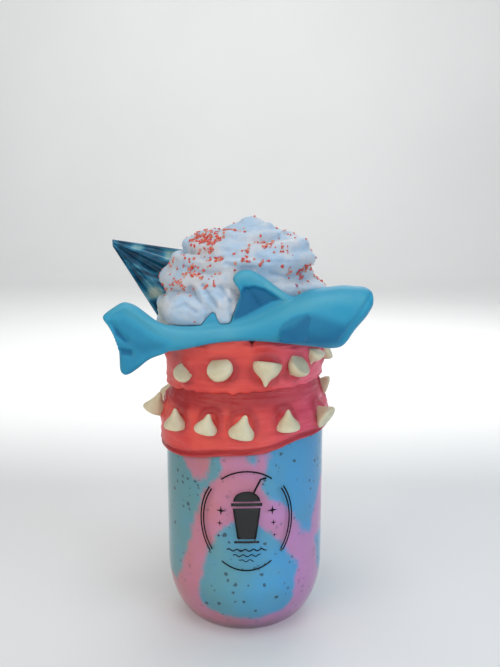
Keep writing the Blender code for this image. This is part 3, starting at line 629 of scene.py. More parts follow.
def makeIcing():
    sizes = icingSizes
    upper, lower = toothRows()
    teeth = np.array([(entry[0], entry[1], entry[4]) for entry in upper + lower])
    shape = bmesh.new()
    rings, shadeAmounts = [], []
    for step in range(sizes["segments"]):
        azimuth = 360 * step / sizes["segments"] - 180
        edge, crease, outer = icingOutline(azimuth)
        ring = []
        for radius, height in outer:
            out = outward(azimuth)
            spot = out * radius + Vector((0, 0, height))
            radius += sizes["lump"][0] * noise.noise(spot / sizes["lump"][1])
            smear = Vector((out.x * 1.6, out.y * 1.6, height / 2.6))
            radius += sizes["stroke"] * noise.noise(smear * 1.4)
            radius += sizes["fine"] * noise.noise(Vector((out.x * 9, out.y * 9, height * 1.1)))
            relief, sunk = knifeRelief(azimuth, height)
            radius += relief
            near = ((teeth[:, 0] - azimuth + 180) % 360 - 180) * 0.72
            gap = np.hypot(near, teeth[:, 1] - height) - sizes["rimRadius"] * teeth[:, 2]
            radius += sizes["rimHeight"] * float(np.max(np.exp(-(gap / sizes["rimWidth"]) ** 2)))
            place = out * radius + Vector((0, 0, height))
            ring.append(shape.verts.new(place * mm))
            # painted shade: under the upper band's overhang, in the groove above the lower lip, round the teeth and
            # in sunk knife strokes, less of it towards the right; the hidden inner side is fully shaded
            deepest, shallow = (crease - away for away in sizes["shadeBelow"])
            below = smoothShare(height, deepest, shallow) if height < crease else 0
            below *= 1 - 0.45 * smoothShare(azimuth, 8, 40) * (azimuth < 100)
            lip = math.exp(-((height - edge - sizes["lipShadeCentre"]) / sizes["lipShadeWidth"]) ** 2)
            rim = sizes["rimShade"] * float(np.max(np.exp(-(gap / 2.2) ** 2)))
            shadeAmounts.append(min(1, below + lip + rim + sunk))
        rimTop, neckSide = jarSizes["height"] + sizes["clearance"], jarSizes["neck"] + sizes["clearance"]
        inner = [(sizes["inner"] + 2.5, sizes["top"] - 0.2), (sizes["inner"], sizes["top"] - 0.6),
                 (sizes["inner"], rimTop), (neckSide, rimTop), (neckSide, 134.0)]
        start = max(jarSizes["shoulderStart"], edge + 2)
        for row in range(8, -1, -1):
            height = blend(start, jarSizes["shoulderEnd"], row / 8)
            inner.append((jarOutside(height) + 0.12, height))
        inner.append((jarOutside(edge) + 0.08, edge + 0.3))
        for radius, height in inner:
            ring.append(shape.verts.new((outward(azimuth) * radius + Vector((0, 0, height))) * mm))
            shadeAmounts.append(1.0)
        rings.append(ring)
    for one, other in zip(rings, rings[1:] + rings[:1]):
        joinRings(shape, one, other)
    bmesh.ops.recalc_face_normals(shape, faces=shape.faces)
    collar = meshFromBm("icingCollar", shape, smearedIcing())
    storeValues(collar.data, "icingShade", shadeAmounts)
    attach(collar, "root")
    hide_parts("icing")
    print("icing made")


def smearedIcing():
    # buttercream smeared with a palette knife: coral red, satin, paler where dragged thin; painted shade deepens it
    # under the upper band, in the lip's groove, round the teeth and in sunk strokes, and painted lamp colour turns
    # it from warm-lit on the left to cool-lit pink on the right
    finish, add, place = startMaterial("spreadButtercream")
    smooth = {"interpolation_type": "SMOOTHSTEP"}
    broad = add("ShaderNodeTexNoise", {
        "Vector": place, "Scale": 1 / (18 * mm), "Detail": 3.0, "Roughness": 0.55}).outputs["Fac"]
    broad = add("ShaderNodeMapRange", {"Value": broad, "From Min": 0.35, "From Max": 0.65}, **smooth).outputs[0]
    drawn = add("ShaderNodeMapping", {"Vector": place, "Scale": (0.5, 0.5, 4.0)}).outputs["Vector"]
    drag = add("ShaderNodeTexNoise", {
        "Vector": drawn, "Scale": 1 / (9 * mm), "Detail": 4.0, "Roughness": 0.6}).outputs["Fac"]
    # painted lamp colour: the warm-lit copies on the left fade to the cool-lit copies on the right
    across = add("ShaderNodeSeparateXYZ", {0: place}).outputs["X"]
    across = add("ShaderNodeMapRange", {
        "Value": across, "From Min": 4 * mm, "From Max": 34 * mm}, **smooth).outputs[0]
    base, thick = (add("ShaderNodeMix", {0: across, 6: icingColours[name], 7: icingColours[name + "Right"]},
                       data_type="RGBA").outputs[2] for name in ("base", "thick"))
    colour = add("ShaderNodeMix", {0: broad, 6: base, 7: thick}, data_type="RGBA").outputs[2]
    thin = add("ShaderNodeMapRange", {
        "Value": drag, "From Min": 0.55, "From Max": 0.8, "To Max": 0.45}, **smooth).outputs[0]
    colour = add("ShaderNodeMix", {0: thin, 6: colour, 7: icingColours["light"]}, data_type="RGBA").outputs[2]
    # painted shade from the collar's stored shade values
    icingShade = add("ShaderNodeAttribute", attribute_name="icingShade").outputs["Fac"]
    icingShade = add("ShaderNodeMapRange", {"Value": icingShade, "To Max": 0.75}, **smooth).outputs[0]
    colour = add("ShaderNodeMix", {0: icingShade, 6: colour, 7: icingColours["deep"]}, data_type="RGBA").outputs[2]
    grain = add("ShaderNodeTexNoise", {
        "Vector": place, "Scale": 1 / (0.9 * mm), "Detail": 2.0, "Roughness": 0.55}).outputs["Fac"]
    pores = add("ShaderNodeBump", {"Height": grain, "Distance": 0.08 * mm}).outputs[0]
    drags = add("ShaderNodeBump", {"Height": drag, "Distance": 0.5 * mm, "Strength": 0.8, "Normal": pores})
    surface = add("ShaderNodeBsdfPrincipled", {
        "Base Color": colour, "Roughness": 0.42, "IOR": 1.45, "Subsurface Weight": 0.25,
        "Subsurface Radius": (0.004, 0.0012, 0.001), "Subsurface Scale": 0.5, "Normal": drags.outputs[0]})
    add("ShaderNodeOutputMaterial", {"Surface": surface.outputs[0]})
    return finish


# Shark: stations of the body from the tail's root to the snout, as x, underside, back, half width.
sharkSizes = {
    # the belly value is painted shade that darkens the underside
    "y": -36.0, "ring": 56, "roundness": 2.3, "voxel": 0.55, "smoothing": 6, "sideTone": 0.35, "bellyShade": 0.22,
}
sharkBody = [
    (-50, 149.5, 160.5, 2.6), (-43, 147.0, 160.4, 4.2), (-35, 147.0, 159.2, 5.8), (-26, 148.4, 158.6, 7.0),
    (-13, 151.2, 159.7, 7.8), (0, 152.2, 161.2, 8.6), (10, 151.9, 165.0, 10.2), (20, 150.9, 170.6, 11.8),
    (30, 149.8, 175.2, 13.0), (39, 148.8, 176.7, 13.2), (45, 150.2, 177.3, 12.4), (50, 157.2, 177.0, 10.8),
    (55, 163.2, 176.5, 8.4), (58, 168.0, 174.4, 4.8),
]
# Fins: outline of (x, z), half thickness, width of the round rim.
sharkFins = {
    "tail": ([(-33, 157.5), (-40, 161.2), (-48, 167.4), (-52.5, 169.5), (-56, 169.3), (-63, 164.6), (-64, 162.2),
              (-61.5, 158.4), (-58.5, 152), (-57.2, 146), (-57, 138.6), (-55, 136), (-52.4, 136.5),
              (-48.4, 139.2), (-43, 143.4), (-33, 148.2)], 4.0, 2.2),
    "dorsal": ([(-4, 157), (-3.4, 168), (-1.8, 174), (-4.8, 179.4), (-4.4, 182), (-1.6, 184), (3, 184.4),
                (10, 180.4), (18, 174.4), (27, 169), (24, 160)], 3.4, 1.8),
    "smallDorsal": ([(-20, 157), (-16, 163.4), (-13.6, 165), (-12, 162.6), (-10.5, 157)], 2.2, 1.0),
}
pectoralFin = ([(32, 163), (25, 162.6), (17.6, 158.8), (15.4, 154.4), (20, 153.2), (29, 155)], 2.0, 0.8)
pectoralOffset = 11.0

# Grooves in the shark's sides: points (x, z), half width, depth; a negative depth is a ridge.
sharkGrooves = [
    ([(57.0, 174.6), (53.9, 170.0), (50.2, 164.7), (46.0, 158.4), (43.4, 154.3)], 1.3, 0.9),
    ([(-0.1, 177.4), (2.8, 174.1), (6.3, 169.6)], 0.9, 0.9),
    ([(9.8, 177.6), (13.9, 175.0), (18.4, 171.8)], 0.7, -0.6),
    ([(-59.4, 160.4), (-55.6, 155.3), (-52.6, 153.0)], 1.3, 1.3),
    ([(-56.0, 147.7), (-51.2, 147.0)], 1.5, 1.0),
    ([(-60.5, 163.6), (-53.7, 165.6), (-46.8, 161.0), (-39.8, 155.6), (-31.9, 154.2)], 1.8, 0.6),
]
finHollow = {"depth": 1.2, "slope": 1.9, "outline": [
    (-0.6, 177.0), (2.0, 177.7), (5.0, 178.0), (9.5, 176.7), (13.9, 174.0), (17.9, 171.2), (12.5, 170.1),
    (6.5, 167.4), (1.3, 164.8), (-3.8, 162.8), (-3.4, 168.9), (-2.0, 173.5)]}

# Painted shade on the sides, on the dorsal fin's inner face, round the pectoral fin, on the lower head and on the
# tail, above nought darker and below nought paler: outline of (x, z), softness at its edge, amount.
sharkPaintedShades = [
    ([(-0.6, 177.4), (2.0, 177.9), (5.0, 178.3), (9.5, 176.9), (13.9, 174.2), (17.9, 171.2), (12.5, 170.1),
      (6.5, 166.8), (1.3, 164.0), (-4.8, 161.6), (-4.6, 168.9), (-2.8, 173.5)], 1.2, 0.7),
    ([(15.2, 153), (15.2, 159.3), (17, 162.3), (21, 164.9), (24.7, 166.4), (28.3, 167.1), (29.8, 164.5),
      (28.4, 160), (30, 153)], 1.0, 0.34),
    ([(15.3, 152), (16.7, 158.8), (22.6, 162), (28.3, 167.4), (32.7, 166.6), (38.6, 164.8), (44.5, 162.6),
      (48.1, 164.5), (51.7, 166.7), (47.5, 160.8), (43.2, 152), (33, 151)], 3.4, 0.42),
    ([(-60, 160.6), (-57, 158), (-52.4, 152), (-54, 152), (-58, 155)], 1.0, 0.6),
    ([(-57, 149.6), (-50.5, 149), (-50.5, 145.4), (-56, 146)], 1.0, 0.45),
    ([(-62, 162.4), (-54, 163.6), (-47, 159), (-40, 154.2), (-33, 153), (-36, 149), (-46, 146), (-54, 152)],
     3.0, 0.2),
]
# Painted highlights along the back and on the dorsal fin's rim, and a fainter painted light low along the belly:
# points (x, z), half width, amount.
sharkPaintedHighlights = [
    ([(-60, 168.0), (-54, 168.6), (-50.7, 167.0), (-44.9, 162.4), (-39.8, 159.4), (-32.3, 157.4), (-17.4, 157.6),
      (-5.4, 158.0), (6.4, 162.2), (21.1, 168.4), (35.8, 172.4), (52, 172.8)], 3.0, 0.2),
    ([(-3.6, 181.0), (-1.0, 182.6), (3.4, 182.6), (9.0, 179.6), (14.0, 176.2), (18.4, 172.0)], 2.4, 0.24),
    ([(10.4, 177.8), (14.2, 175.2), (18.4, 171.9)], 0.7, 0.3),
    ([(-46, 142.6), (-40, 146), (-30, 149.6), (-14, 152.4), (2, 153.6), (12, 153.4)], 2.6, 0.14),
]
# the first colour is for painted highlights, base is the candy's own blue and deep is for painted shade
gummyColours = {"paintedHighlight": "5CAEC2", "base": "2E9CC0", "deep": "046694"}


def bodyRing(shape, station):
    x, low, high, halfWidth = station
    middle, halfHeight = (low + high) / 2, (high - low) / 2
    power = 2 / sharkSizes["roundness"]
    ring = []
    for step in range(sharkSizes["ring"]):
        angle = math.tau * step / sharkSizes["ring"]
        across = math.copysign(abs(math.cos(angle)) ** power, math.cos(angle)) * halfWidth
        up = math.copysign(abs(math.sin(angle)) ** power, math.sin(angle)) * halfHeight
        ring.append(shape.verts.new(Vector((x, sharkSizes["y"] + across, middle + up)) * mm))
    return ring


def outlineInset(outline, amount):
    moved = []
    count = len(outline)
    area = sum(outline[i - 1][0] * outline[i][1] - outline[i][0] * outline[i - 1][1] for i in range(count))
    turn = 1 if area > 0 else -1
    for index, (x, z) in enumerate(outline):
        before, after = outline[index - 2], outline[(index + 2) % count]
        run = Vector((after[0] - before[0], after[1] - before[1])).normalized()
        moved.append((x - run.y * amount * turn, z + run.x * amount * turn))
    return moved


def addBlade(shape, outline, halfThickness, rim, shift=0):
    # a fin with a round rim, swelling to its thickness inside
    smooth = splineLoop(outline, 4)
    rings = []
    for step in range(9):
        angle = math.pi * (step / 8 - 0.5)
        y = sharkSizes["y"] + shift + math.sin(angle) * halfThickness
        inset = outlineInset(smooth, rim * (1 - math.cos(angle)))
        rings.append([shape.verts.new(Vector((x, y, z)) * mm) for x, z in inset])
    for one, other in zip(rings, rings[1:]):
        joinRings(shape, one, other)
    shape.faces.new(rings[0])
    shape.faces.new(rings[-1])


def softGummy():
    # foam-soft gummy candy: opaque teal blue, waxy satin skin, with painted highlights on its back and painted shade
    # below and in its hollows
    finish, add, place = startMaterial("satinGummy")
    broad, grain = (add("ShaderNodeTexNoise", {
        "Vector": place, "Scale": 1 / (size * mm), "Detail": 3.0, "Roughness": 0.55}).outputs["Fac"]
        for size in (12, 1.2))
    broad = add("ShaderNodeMapRange", {
        "Value": broad, "From Min": 0.25, "From Max": 0.75, "To Min": -0.05, "To Max": 0.05},
        interpolation_type="SMOOTHSTEP").outputs[0]
    shade = add("ShaderNodeAttribute", attribute_name="shade").outputs["Fac"]
    shade = add("ShaderNodeMath", {0: shade, 1: broad}, operation="ADD").outputs[0]
    colour = add("ShaderNodeValToRGB", {"Fac": shade}, [
        (0.0, gummyColours["paintedHighlight"]), (sharkSizes["sideTone"], gummyColours["base"]), (1.0, gummyColours["deep"])])
    skin = add("ShaderNodeBump", {"Height": grain, "Distance": 0.05 * mm})
    surface = add("ShaderNodeBsdfPrincipled", {
        "Base Color": colour.outputs[0], "Roughness": 0.48, "IOR": 1.38, "Subsurface Weight": 0.25,
        "Subsurface Radius": (0.0012, 0.003, 0.004), "Subsurface Scale": 0.6, "Normal": skin.outputs[0]})
    add("ShaderNodeOutputMaterial", {"Surface": surface.outputs[0]})
    return finish


def makeShark():
    shape = bmesh.new()
    rings = [bodyRing(shape, station) for station in splinePoints(sharkBody, 5)]
    for one, other in zip(rings, rings[1:]):
        joinRings(shape, one, other)
    shape.faces.new(rings[0])
    shape.faces.new(rings[-1])
    for fin in sharkFins.values():
        addBlade(shape, *fin)
    for side in (-1, 1):
        addBlade(shape, *pectoralFin, side * pectoralOffset)
    data = skinned(shape, "sharkSkin", sharkSizes["voxel"], sharkSizes["smoothing"])
    places, normals = meshPlaces(data) / mm, meshNormals(data)
    flat = places[:, [0, 2]]
    facing = np.clip(np.abs(normals[:, 1]) * 1.6, 0, 1)
    depth = finHollow["depth"] * softStep(outlineDistance(flat, finHollow["outline"]), 0, finHollow["slope"])
    for line, width, amount in sharkGrooves:
        depth += amount * np.exp(-(closestOnLine(flat, line) / width) ** 2)
    places -= normals * (depth * facing)[:, None]
    moveMesh(data, places * mm)
    stations = np.array(sharkBody)
    low, high = (np.interp(flat[:, 0], stations[:, 0], stations[:, column]) for column in (1, 2))
    # painted shade, darker towards the underside and inside the painted shade outlines, and painted highlights along
    # the highlight lines
    belly = 1 - softStep((flat[:, 1] - low) / (high - low), 0.05, 0.5)
    tone = sharkSizes["sideTone"] + sharkSizes["bellyShade"] * belly
    for outline, soft, amount in sharkPaintedShades:
        tone += amount * softStep(outlineDistance(flat, outline), -soft * 0.4, soft) * facing
    for line, width, amount in sharkPaintedHighlights:
        tone -= amount * np.exp(-(closestOnLine(flat, line) / width) ** 2)
    piece = finishMesh("gummyShark", data, softGummy())
    storeValues(data, "shade", np.clip(tone, 0.05, 0.95))
    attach(piece, "root")
    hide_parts("shark")
    print("shark made")
    return piece


# Candy sheet: pleats that spread from its tip.
fanSizes = {
    "tip": Vector((-66.4, 10.0, 192.6)), "angles": (-6.0, -58.5), "lengths": [42.0, 44.5, 47.0, 46.5, 45.0],
    "tipWidth": 3.2, "thickness": 2.0, "pleats": 2.5, "depth": 3.2, "tipShare": 0.15, "phase": 0.6,
    "lean": 3.0, "crinkle": 0.9, "rays": 110, "rings": 60, "ground": 0.31, "mottle": 0.16, "mottleSize": 5,
}


def fanPoint(ray, ring, side):
    sizes = fanSizes
    angle = math.radians(blend(*sizes["angles"], ray))
    spot = ray * (len(sizes["lengths"]) - 1)
    index = min(int(spot), len(sizes["lengths"]) - 2)
    length = blend(sizes["lengths"][index], sizes["lengths"][index + 1], spot - index)
    along = Vector((math.cos(angle), 0, math.sin(angle)))
    across = Vector((0, 0, -1)) * (ray - 0.5) * sizes["tipWidth"] * (1 - ring)
    turn = math.tau * sizes["pleats"] * ray + sizes["phase"]
    wave = math.sin(turn) + 0.16 * math.sin(3 * turn + 1.0)
    depth = sizes["depth"] * blend(sizes["tipShare"], 1, ring) * wave
    crinkle = sizes["crinkle"] * ring * noise.noise(Vector((ray * 4, ring * 3, 3)))
    edge = min(ray, 1 - ray, ring * 1.2 + 0.02) * 30
    thickness = sizes["thickness"] * min(1, 0.35 + 0.65 * math.sqrt(min(edge, 1)))
    away = depth - sizes["lean"] * ring + crinkle + side * thickness / 2
    return sizes["tip"] + along * length * ring + across + Vector((0, away, 0))


def glossyCandy():
    # thin boiled-sugar sheet: glossy deep navy, with painted highlights and reflections in pale teal and darker
    # painted shade
    finish, add, place = startMaterial("glossySugarSheet")
    drawn = add("ShaderNodeAttribute", attribute_name="sheenAndShade").outputs["Fac"]
    mottle = add("ShaderNodeTexNoise", {
        "Vector": place, "Scale": 1 / (4 * mm), "Detail": 4.0, "Roughness": 0.6}).outputs["Fac"]
    mottle = add("ShaderNodeMapRange", {
        "Value": mottle, "From Min": 0.2, "From Max": 0.8, "To Min": -0.14, "To Max": 0.14},
        interpolation_type="SMOOTHSTEP").outputs[0]
    mixed = add("ShaderNodeMath", {0: drawn, 1: mottle}, operation="ADD").outputs[0]
    # the dark stops are the sheet's own navy and teal, the pale ones the painted highlight colours
    colour = add("ShaderNodeValToRGB", {"Fac": mixed}, [
        (0.0, "072C44"), (0.3, "0C4A68"), (0.55, "23789A"), (0.8, "6FA4AE"), (1.0, "A6B8B0")])
    uneven = add("ShaderNodeTexNoise", {
        "Vector": place, "Scale": 1 / (6 * mm), "Detail": 2.0, "Roughness": 0.55}).outputs["Fac"]
    ripple = add("ShaderNodeBump", {"Height": uneven, "Distance": 0.3 * mm})
    surface = add("ShaderNodeBsdfPrincipled", {
        "Base Color": colour.outputs[0], "Roughness": 0.3, "IOR": 1.46, "Coat Weight": 0.15, "Coat Roughness": 0.12,
        "Normal": ripple.outputs[0]})
    add("ShaderNodeOutputMaterial", {"Surface": surface.outputs[0]})
    return finish


# Painted light on the sheet, above nought a painted highlight and below it painted shade: millimetres from its tip
# across and down, half widths, amount.
fanPaintedPatches = [
    (0.5, 0.5, 2.6, 2.0, 0.32), (12.6, 2.2, 3.4, 1.7, 0.38), (30.6, 6.3, 4.6, 2.6, 0.62), (19, 6.2, 5, 3, 0.06),
    (29.7, 13.0, 4.6, 4.2, -0.2), (8.6, 5.6, 3.4, 2.4, -0.14), (19.4, 19.8, 4.2, 2.6, 0.2),
    (21.6, 25.2, 4.4, 3.6, 0.74), (26.1, 33.8, 3.2, 4.2, -0.3), (17, 13, 4, 2, -0.1),
]
# Painted highlight streaks, a negative amount a painted shade streak: ends as millimetres across and down, half
# width, amount.
fanPaintedStreaks = [
    ((10.4, 10.8), (23.9, 16.2), 0.75, 0.34), ((13.0, 15.3), (23.9, 18.6), 0.75, 0.3),
    ((12.0, 13.2), (23.9, 17.4), 0.6, -0.12), ((2.0, 2.4), (24.0, 38.0), 0.5, 0.2), ((3, 1.6), (36, 3.9), 0.6, 0.16),
]


def fanPaintedLight(ray, ring):
    # painted highlights as pale patches and streaks and painted shade as darker ones, on a dark ground that has its
    # own mottle
    place = fanPoint(ray, ring, 0) - fanSizes["tip"]
    across, down = place.x, -place.z
    spot = Vector((across / fanSizes["mottleSize"], down / fanSizes["mottleSize"], 7))
    shade = fanSizes["ground"] + fanSizes["mottle"] * noise.noise(spot)
    for x, z, wideX, wideZ, amount in fanPaintedPatches:
        shade += amount * math.exp(-((across - x) / wideX) ** 4 - ((down - z) / wideZ) ** 4)
    for start, end, width, amount in fanPaintedStreaks:
        gap = float(closestOnLine(np.array([[across, down]]), (start, end))[0])
        shade += amount * math.exp(-(gap / width) ** 2)
    return min(1, max(0, shade))


def makeFan():
    sizes = fanSizes
    shape = bmesh.new()
    sheets, shades = [], []
    for side in (-1, 1):
        sheet = []
        for ring in range(sizes["rings"] + 1):
            row = []
            for ray in range(sizes["rays"] + 1):
                place = fanPoint(ray / sizes["rays"], ring / sizes["rings"], side)
                row.append(shape.verts.new(place * mm))
                shades.append(fanPaintedLight(ray / sizes["rays"], ring / sizes["rings"]))
            sheet.append(row)
        sheets.append(sheet)
    front, back = sheets
    rows, columns = sizes["rings"], sizes["rays"]
    for ring in range(rows):
        for ray in range(columns):
            for sheet in sheets:
                shape.faces.new((sheet[ring][ray], sheet[ring + 1][ray], sheet[ring + 1][ray + 1],
                                 sheet[ring][ray + 1]))
    border = [(0, ray) for ray in range(columns)] + [(ring, columns) for ring in range(rows)]
    border += [(rows, ray) for ray in range(columns, 0, -1)] + [(ring, 0) for ring in range(rows, 0, -1)]
    for one, other in zip(border, border[1:] + border[:1]):
        shape.faces.new((front[one[0]][one[1]], front[other[0]][other[1]],
                         back[other[0]][other[1]], back[one[0]][one[1]]))
    bmesh.ops.recalc_face_normals(shape, faces=shape.faces)
    piece = meshFromBm("candySheet", shape, glossyCandy())
    storeValues(piece.data, "sheenAndShade", shades)
    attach(piece, "root")
    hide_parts("candy_fan")
    print("candy sheet made")
    return piece


# Whipped cream: one piped rope, as azimuth, radius of the turn, height, radius of the rope.
creamSizes = {
    "lobes": 7, "lobeDepth": 0.085, "twist": 0.35, "step": 4, "centreX": 1.6, "centreRise": (176.0, 190.0),
    "section": 56, "pulse": 0.025, "plug": 30.0, "seat": 152.4, "bottom": 138.3, "voxel": 0.6, "smoothing": 4,
    "froth": ((0.5, 7), (0.22, 2.6)), "drawn": (0.3, 7.5, 2.4), "calm": (154, 158), "around": 96,
    "sharkBed": 0.25, "fanBed": 0.2,
}
creamRope = [
    (-110, 28.5, 158.5, 12.6), (-80, 30.6, 159.0, 13.4), (-52, 28.8, 161.5, 13.8), (-34, 24.8, 163.2, 14.2),
    (-20, 21.8, 164.2, 14.5), (10, 19.5, 165.5, 15.0), (50, 22.5, 166.0, 15.0), (95, 26.0, 166.5, 14.6),
    (150, 26.5, 168.5, 14.6), (200, 26.5, 171.5, 14.6), (245, 26.8, 174.0, 14.6), (285, 26.2, 176.0, 14.2),
    (330, 22.4, 180.0, 12.6), (375, 20.5, 183.0, 11.6), (420, 21.5, 185.5, 11.4), (455, 22.0, 186.5, 11.0),
    (500, 20.5, 188.0, 10.6), (550, 20.0, 188.4, 10.6), (600, 21.4, 187.4, 11.4), (640, 21.0, 187.8, 11.2),
    (690, 16.0, 190.0, 10.4), (750, 11.5, 192.4, 9.6), (820, 7.6, 194.6, 8.6), (880, 5.0, 196.6, 7.4),
    (920, 3.6, 198.0, 6.0),
]
# The core inside the turns, as radius and height.
creamCore = [(30.2, 152.5), (24.0, 178.0), (12.0, 190.0)]
# Lumps: place, radius, half height.
creamDrops = [
    (1.0, -1.0, 194.0, 15.5, 9.6), (3.6, -1.0, 199.4, 8.0, 7.0),
    (-12.0, -21.0, 170.0, 15.5, 9.5), (-24.0, -20.0, 164.0, 17.0, 10.5),
    (-10.0, -33.0, 166.6, 5.2, 6.6), (-9.4, -34.2, 163.2, 4.6, 5.4),
    (-19.6, -31.6, 166.4, 4.2, 5.8), (-19.2, -33.8, 161.8, 2.3, 4.8),
]

# Folds in the cream's front: points (x, z), half width, depth; a negative depth is a ridge.
creamFolds = [
    ([(-24.6, 175.0), (-22.4, 172.0), (-19.8, 169.6)], 0.9, 0.8),
    ([(-22.2, 176.6), (-19.6, 173.2), (-17.6, 169.6)], 1.1, -0.6),
    ([(-18.8, 176.6), (-15.4, 171.9), (-12.6, 167.6)], 1.0, 1.0),
    ([(-15.0, 177.4), (-12.6, 173.0), (-10.6, 169.4)], 1.2, -0.6),
    ([(-10.6, 176.4), (-8.0, 173.0), (-5.8, 170.4)], 1.0, 0.9),
    ([(-34.5, 170.4), (-29.4, 173.6), (-24.0, 173.0)], 1.2, 0.9),
    ([(-33.0, 166.2), (-27.0, 168.6), (-22.0, 165.8)], 1.1, 0.8),
    ([(-20.5, 172.6), (-15.0, 174.6), (-9.5, 172.2)], 0.9, 0.6),
    ([(6.0, 190.0), (13.0, 187.6), (21.0, 187.4)], 1.4, 0.7),
    ([(-8.0, 187.0), (-2.0, 184.4), (5.0, 185.0)], 1.4, 0.7),
    ([(12.0, 182.0), (19.0, 180.2), (27.0, 180.8)], 1.2, 0.8),
    ([(-25.0, 190.4), (-18.0, 188.6), (-10.0, 189.6)], 1.2, 0.6),
    ([(-28.0, 184.6), (-20.0, 182.4), (-11.0, 182.8)], 1.2, 0.6),
]
# grey and blue are the cream's own tones, the third colour is painted shade for the folds and the fourth a painted
# warm shade low on the left
creamColours = {"grey": "CDD1D7", "blue": "B2CADE", "fold": "96B0CA", "warmShade": "C4C8BC"}
# a painted warm shade patch low on the cream's left: its centre, and the reach where it is full and where it ends
creamWarmShade = {"place": (-36.0, -20.0, 162.0), "reach": (6.0, 12.0)}


def creamRise(places, normals):
    # millimetres that the surface stands out: froth, ridges drawn along the piping, and the folds
    drawn, wide, high = creamSizes["drawn"]
    rise = np.array([
        sum(amount * noise.noise(Vector(place) / size) for amount, size in creamSizes["froth"])
        + drawn * noise.noise(Vector((place[0] / wide, place[1] / wide, place[2] / high))) for place in places])
    for line, width, amount in creamFolds:
        rise -= amount * np.exp(-(closestOnLine(places[:, [0, 2]], line) / width) ** 2) * (normals[:, 1] < 0)
    low, full = creamSizes["calm"]
    return rise * np.clip((places[:, 2] - low) / (full - low), 0, 1)


def ropeStations():
    stations = []
    for one, other in zip(creamRope, creamRope[1:]):
        steps = max(2, round((other[0] - one[0]) / creamSizes["step"]))
        for step in range(steps):
            stations.append(tuple(blend(a, b, step / steps) for a, b in zip(one, other)))
    stations.append(creamRope[-1])
    return stations


def ropeCentre(station):
    azimuth, radius, height = station[:3]
    shift = creamSizes["centreX"] * smoothShare(height, *creamSizes["centreRise"])
    return outward(azimuth) * radius + Vector((shift, 0, height))


def startTree(name, inputs):
    # a Geometry Nodes tree with its inputs named, and what adds a node to it
    tree = bpy.data.node_groups.new(name, "GeometryNodeTree")
    tree.interface.new_socket("Geometry", in_out="OUTPUT", socket_type="NodeSocketGeometry")
    for label, kind in (("Geometry", "Geometry"), *inputs):
        tree.interface.new_socket(label, in_out="INPUT", socket_type="NodeSocket" + kind)
    return tree, partial(addNode, tree)


def ropeTree():
    # a star nozzle's section swept along the path; the section turns with the path's tilt
    tree, add = startTree("pipedRope", [("Lobes", "Float"), ("Lobe Depth", "Float"), ("Finish", "Material")])
    source = add("NodeGroupInput").outputs
    ring = add("GeometryNodeCurvePrimitiveCircle", {"Resolution": creamSizes["section"], "Radius": 1.0})
    index = add("GeometryNodeInputIndex").outputs[0]
    turn = add("ShaderNodeMath", {0: index, 1: math.tau / creamSizes["section"]}, operation="MULTIPLY").outputs[0]
    turn = add("ShaderNodeMath", {0: turn, 1: source["Lobes"]}, operation="MULTIPLY").outputs[0]
    wave = add("ShaderNodeMath", {0: turn}, operation="COSINE").outputs[0]
    swell = add("ShaderNodeMath", {0: wave, 1: source["Lobe Depth"], 2: 1.0}, operation="MULTIPLY_ADD").outputs[0]
    place = add("GeometryNodeInputPosition").outputs[0]
    moved = add("ShaderNodeVectorMath", {0: place, "Scale": swell}, operation="SCALE").outputs[0]
    star = add("GeometryNodeSetPosition", {"Geometry": ring.outputs["Curve"], "Position": moved})
    sweep = add("GeometryNodeCurveToMesh", {
        "Curve": source["Geometry"], "Profile Curve": star.outputs[0], "Fill Caps": True,
        "Scale": add("GeometryNodeInputRadius").outputs[0]})
    real = add("GeometryNodeRealizeInstances", {0: sweep.outputs[0]})
    painted = add("GeometryNodeSetMaterial", {"Geometry": real.outputs[0], "Material": source["Finish"]})
    add("NodeGroupOutput", {0: painted.outputs[0]})
    return tree


def setInputs(modifier, values):
    # inputs go by their sockets' identifiers
    for item in modifier.node_group.interface.items_tree:
        if item.item_type == "SOCKET" and item.in_out == "INPUT" and item.name in values:
            modifier[item.identifier] = values[item.name]


def pipedRope(finish):
    path = bpy.data.curves.new("ropePath", "CURVE")
    path.dimensions = "3D"
    path.twist_mode = "Z_UP"
    line = path.splines.new("POLY")
    stations = ropeStations()
    line.points.add(len(stations) - 1)
    for point, station in zip(line.points, stations):
        pulse = 1 + creamSizes["pulse"] * math.sin(math.radians(station[0]) * 11)
        point.co = (*(ropeCentre(station) * mm), 1)
        point.radius = station[3] * mm * pulse
        point.tilt = math.radians(station[0]) * creamSizes["twist"]
    item = newItem("ropePath", path)
    sweep = item.modifiers.new("sweep", "NODES")
    sweep.node_group = ropeTree()
    setInputs(sweep, {
        "Lobes": float(creamSizes["lobes"]), "Lobe Depth": creamSizes["lobeDepth"], "Finish": finish})
    data = bakedMesh(item)
    bpy.data.objects.remove(item)
    return data


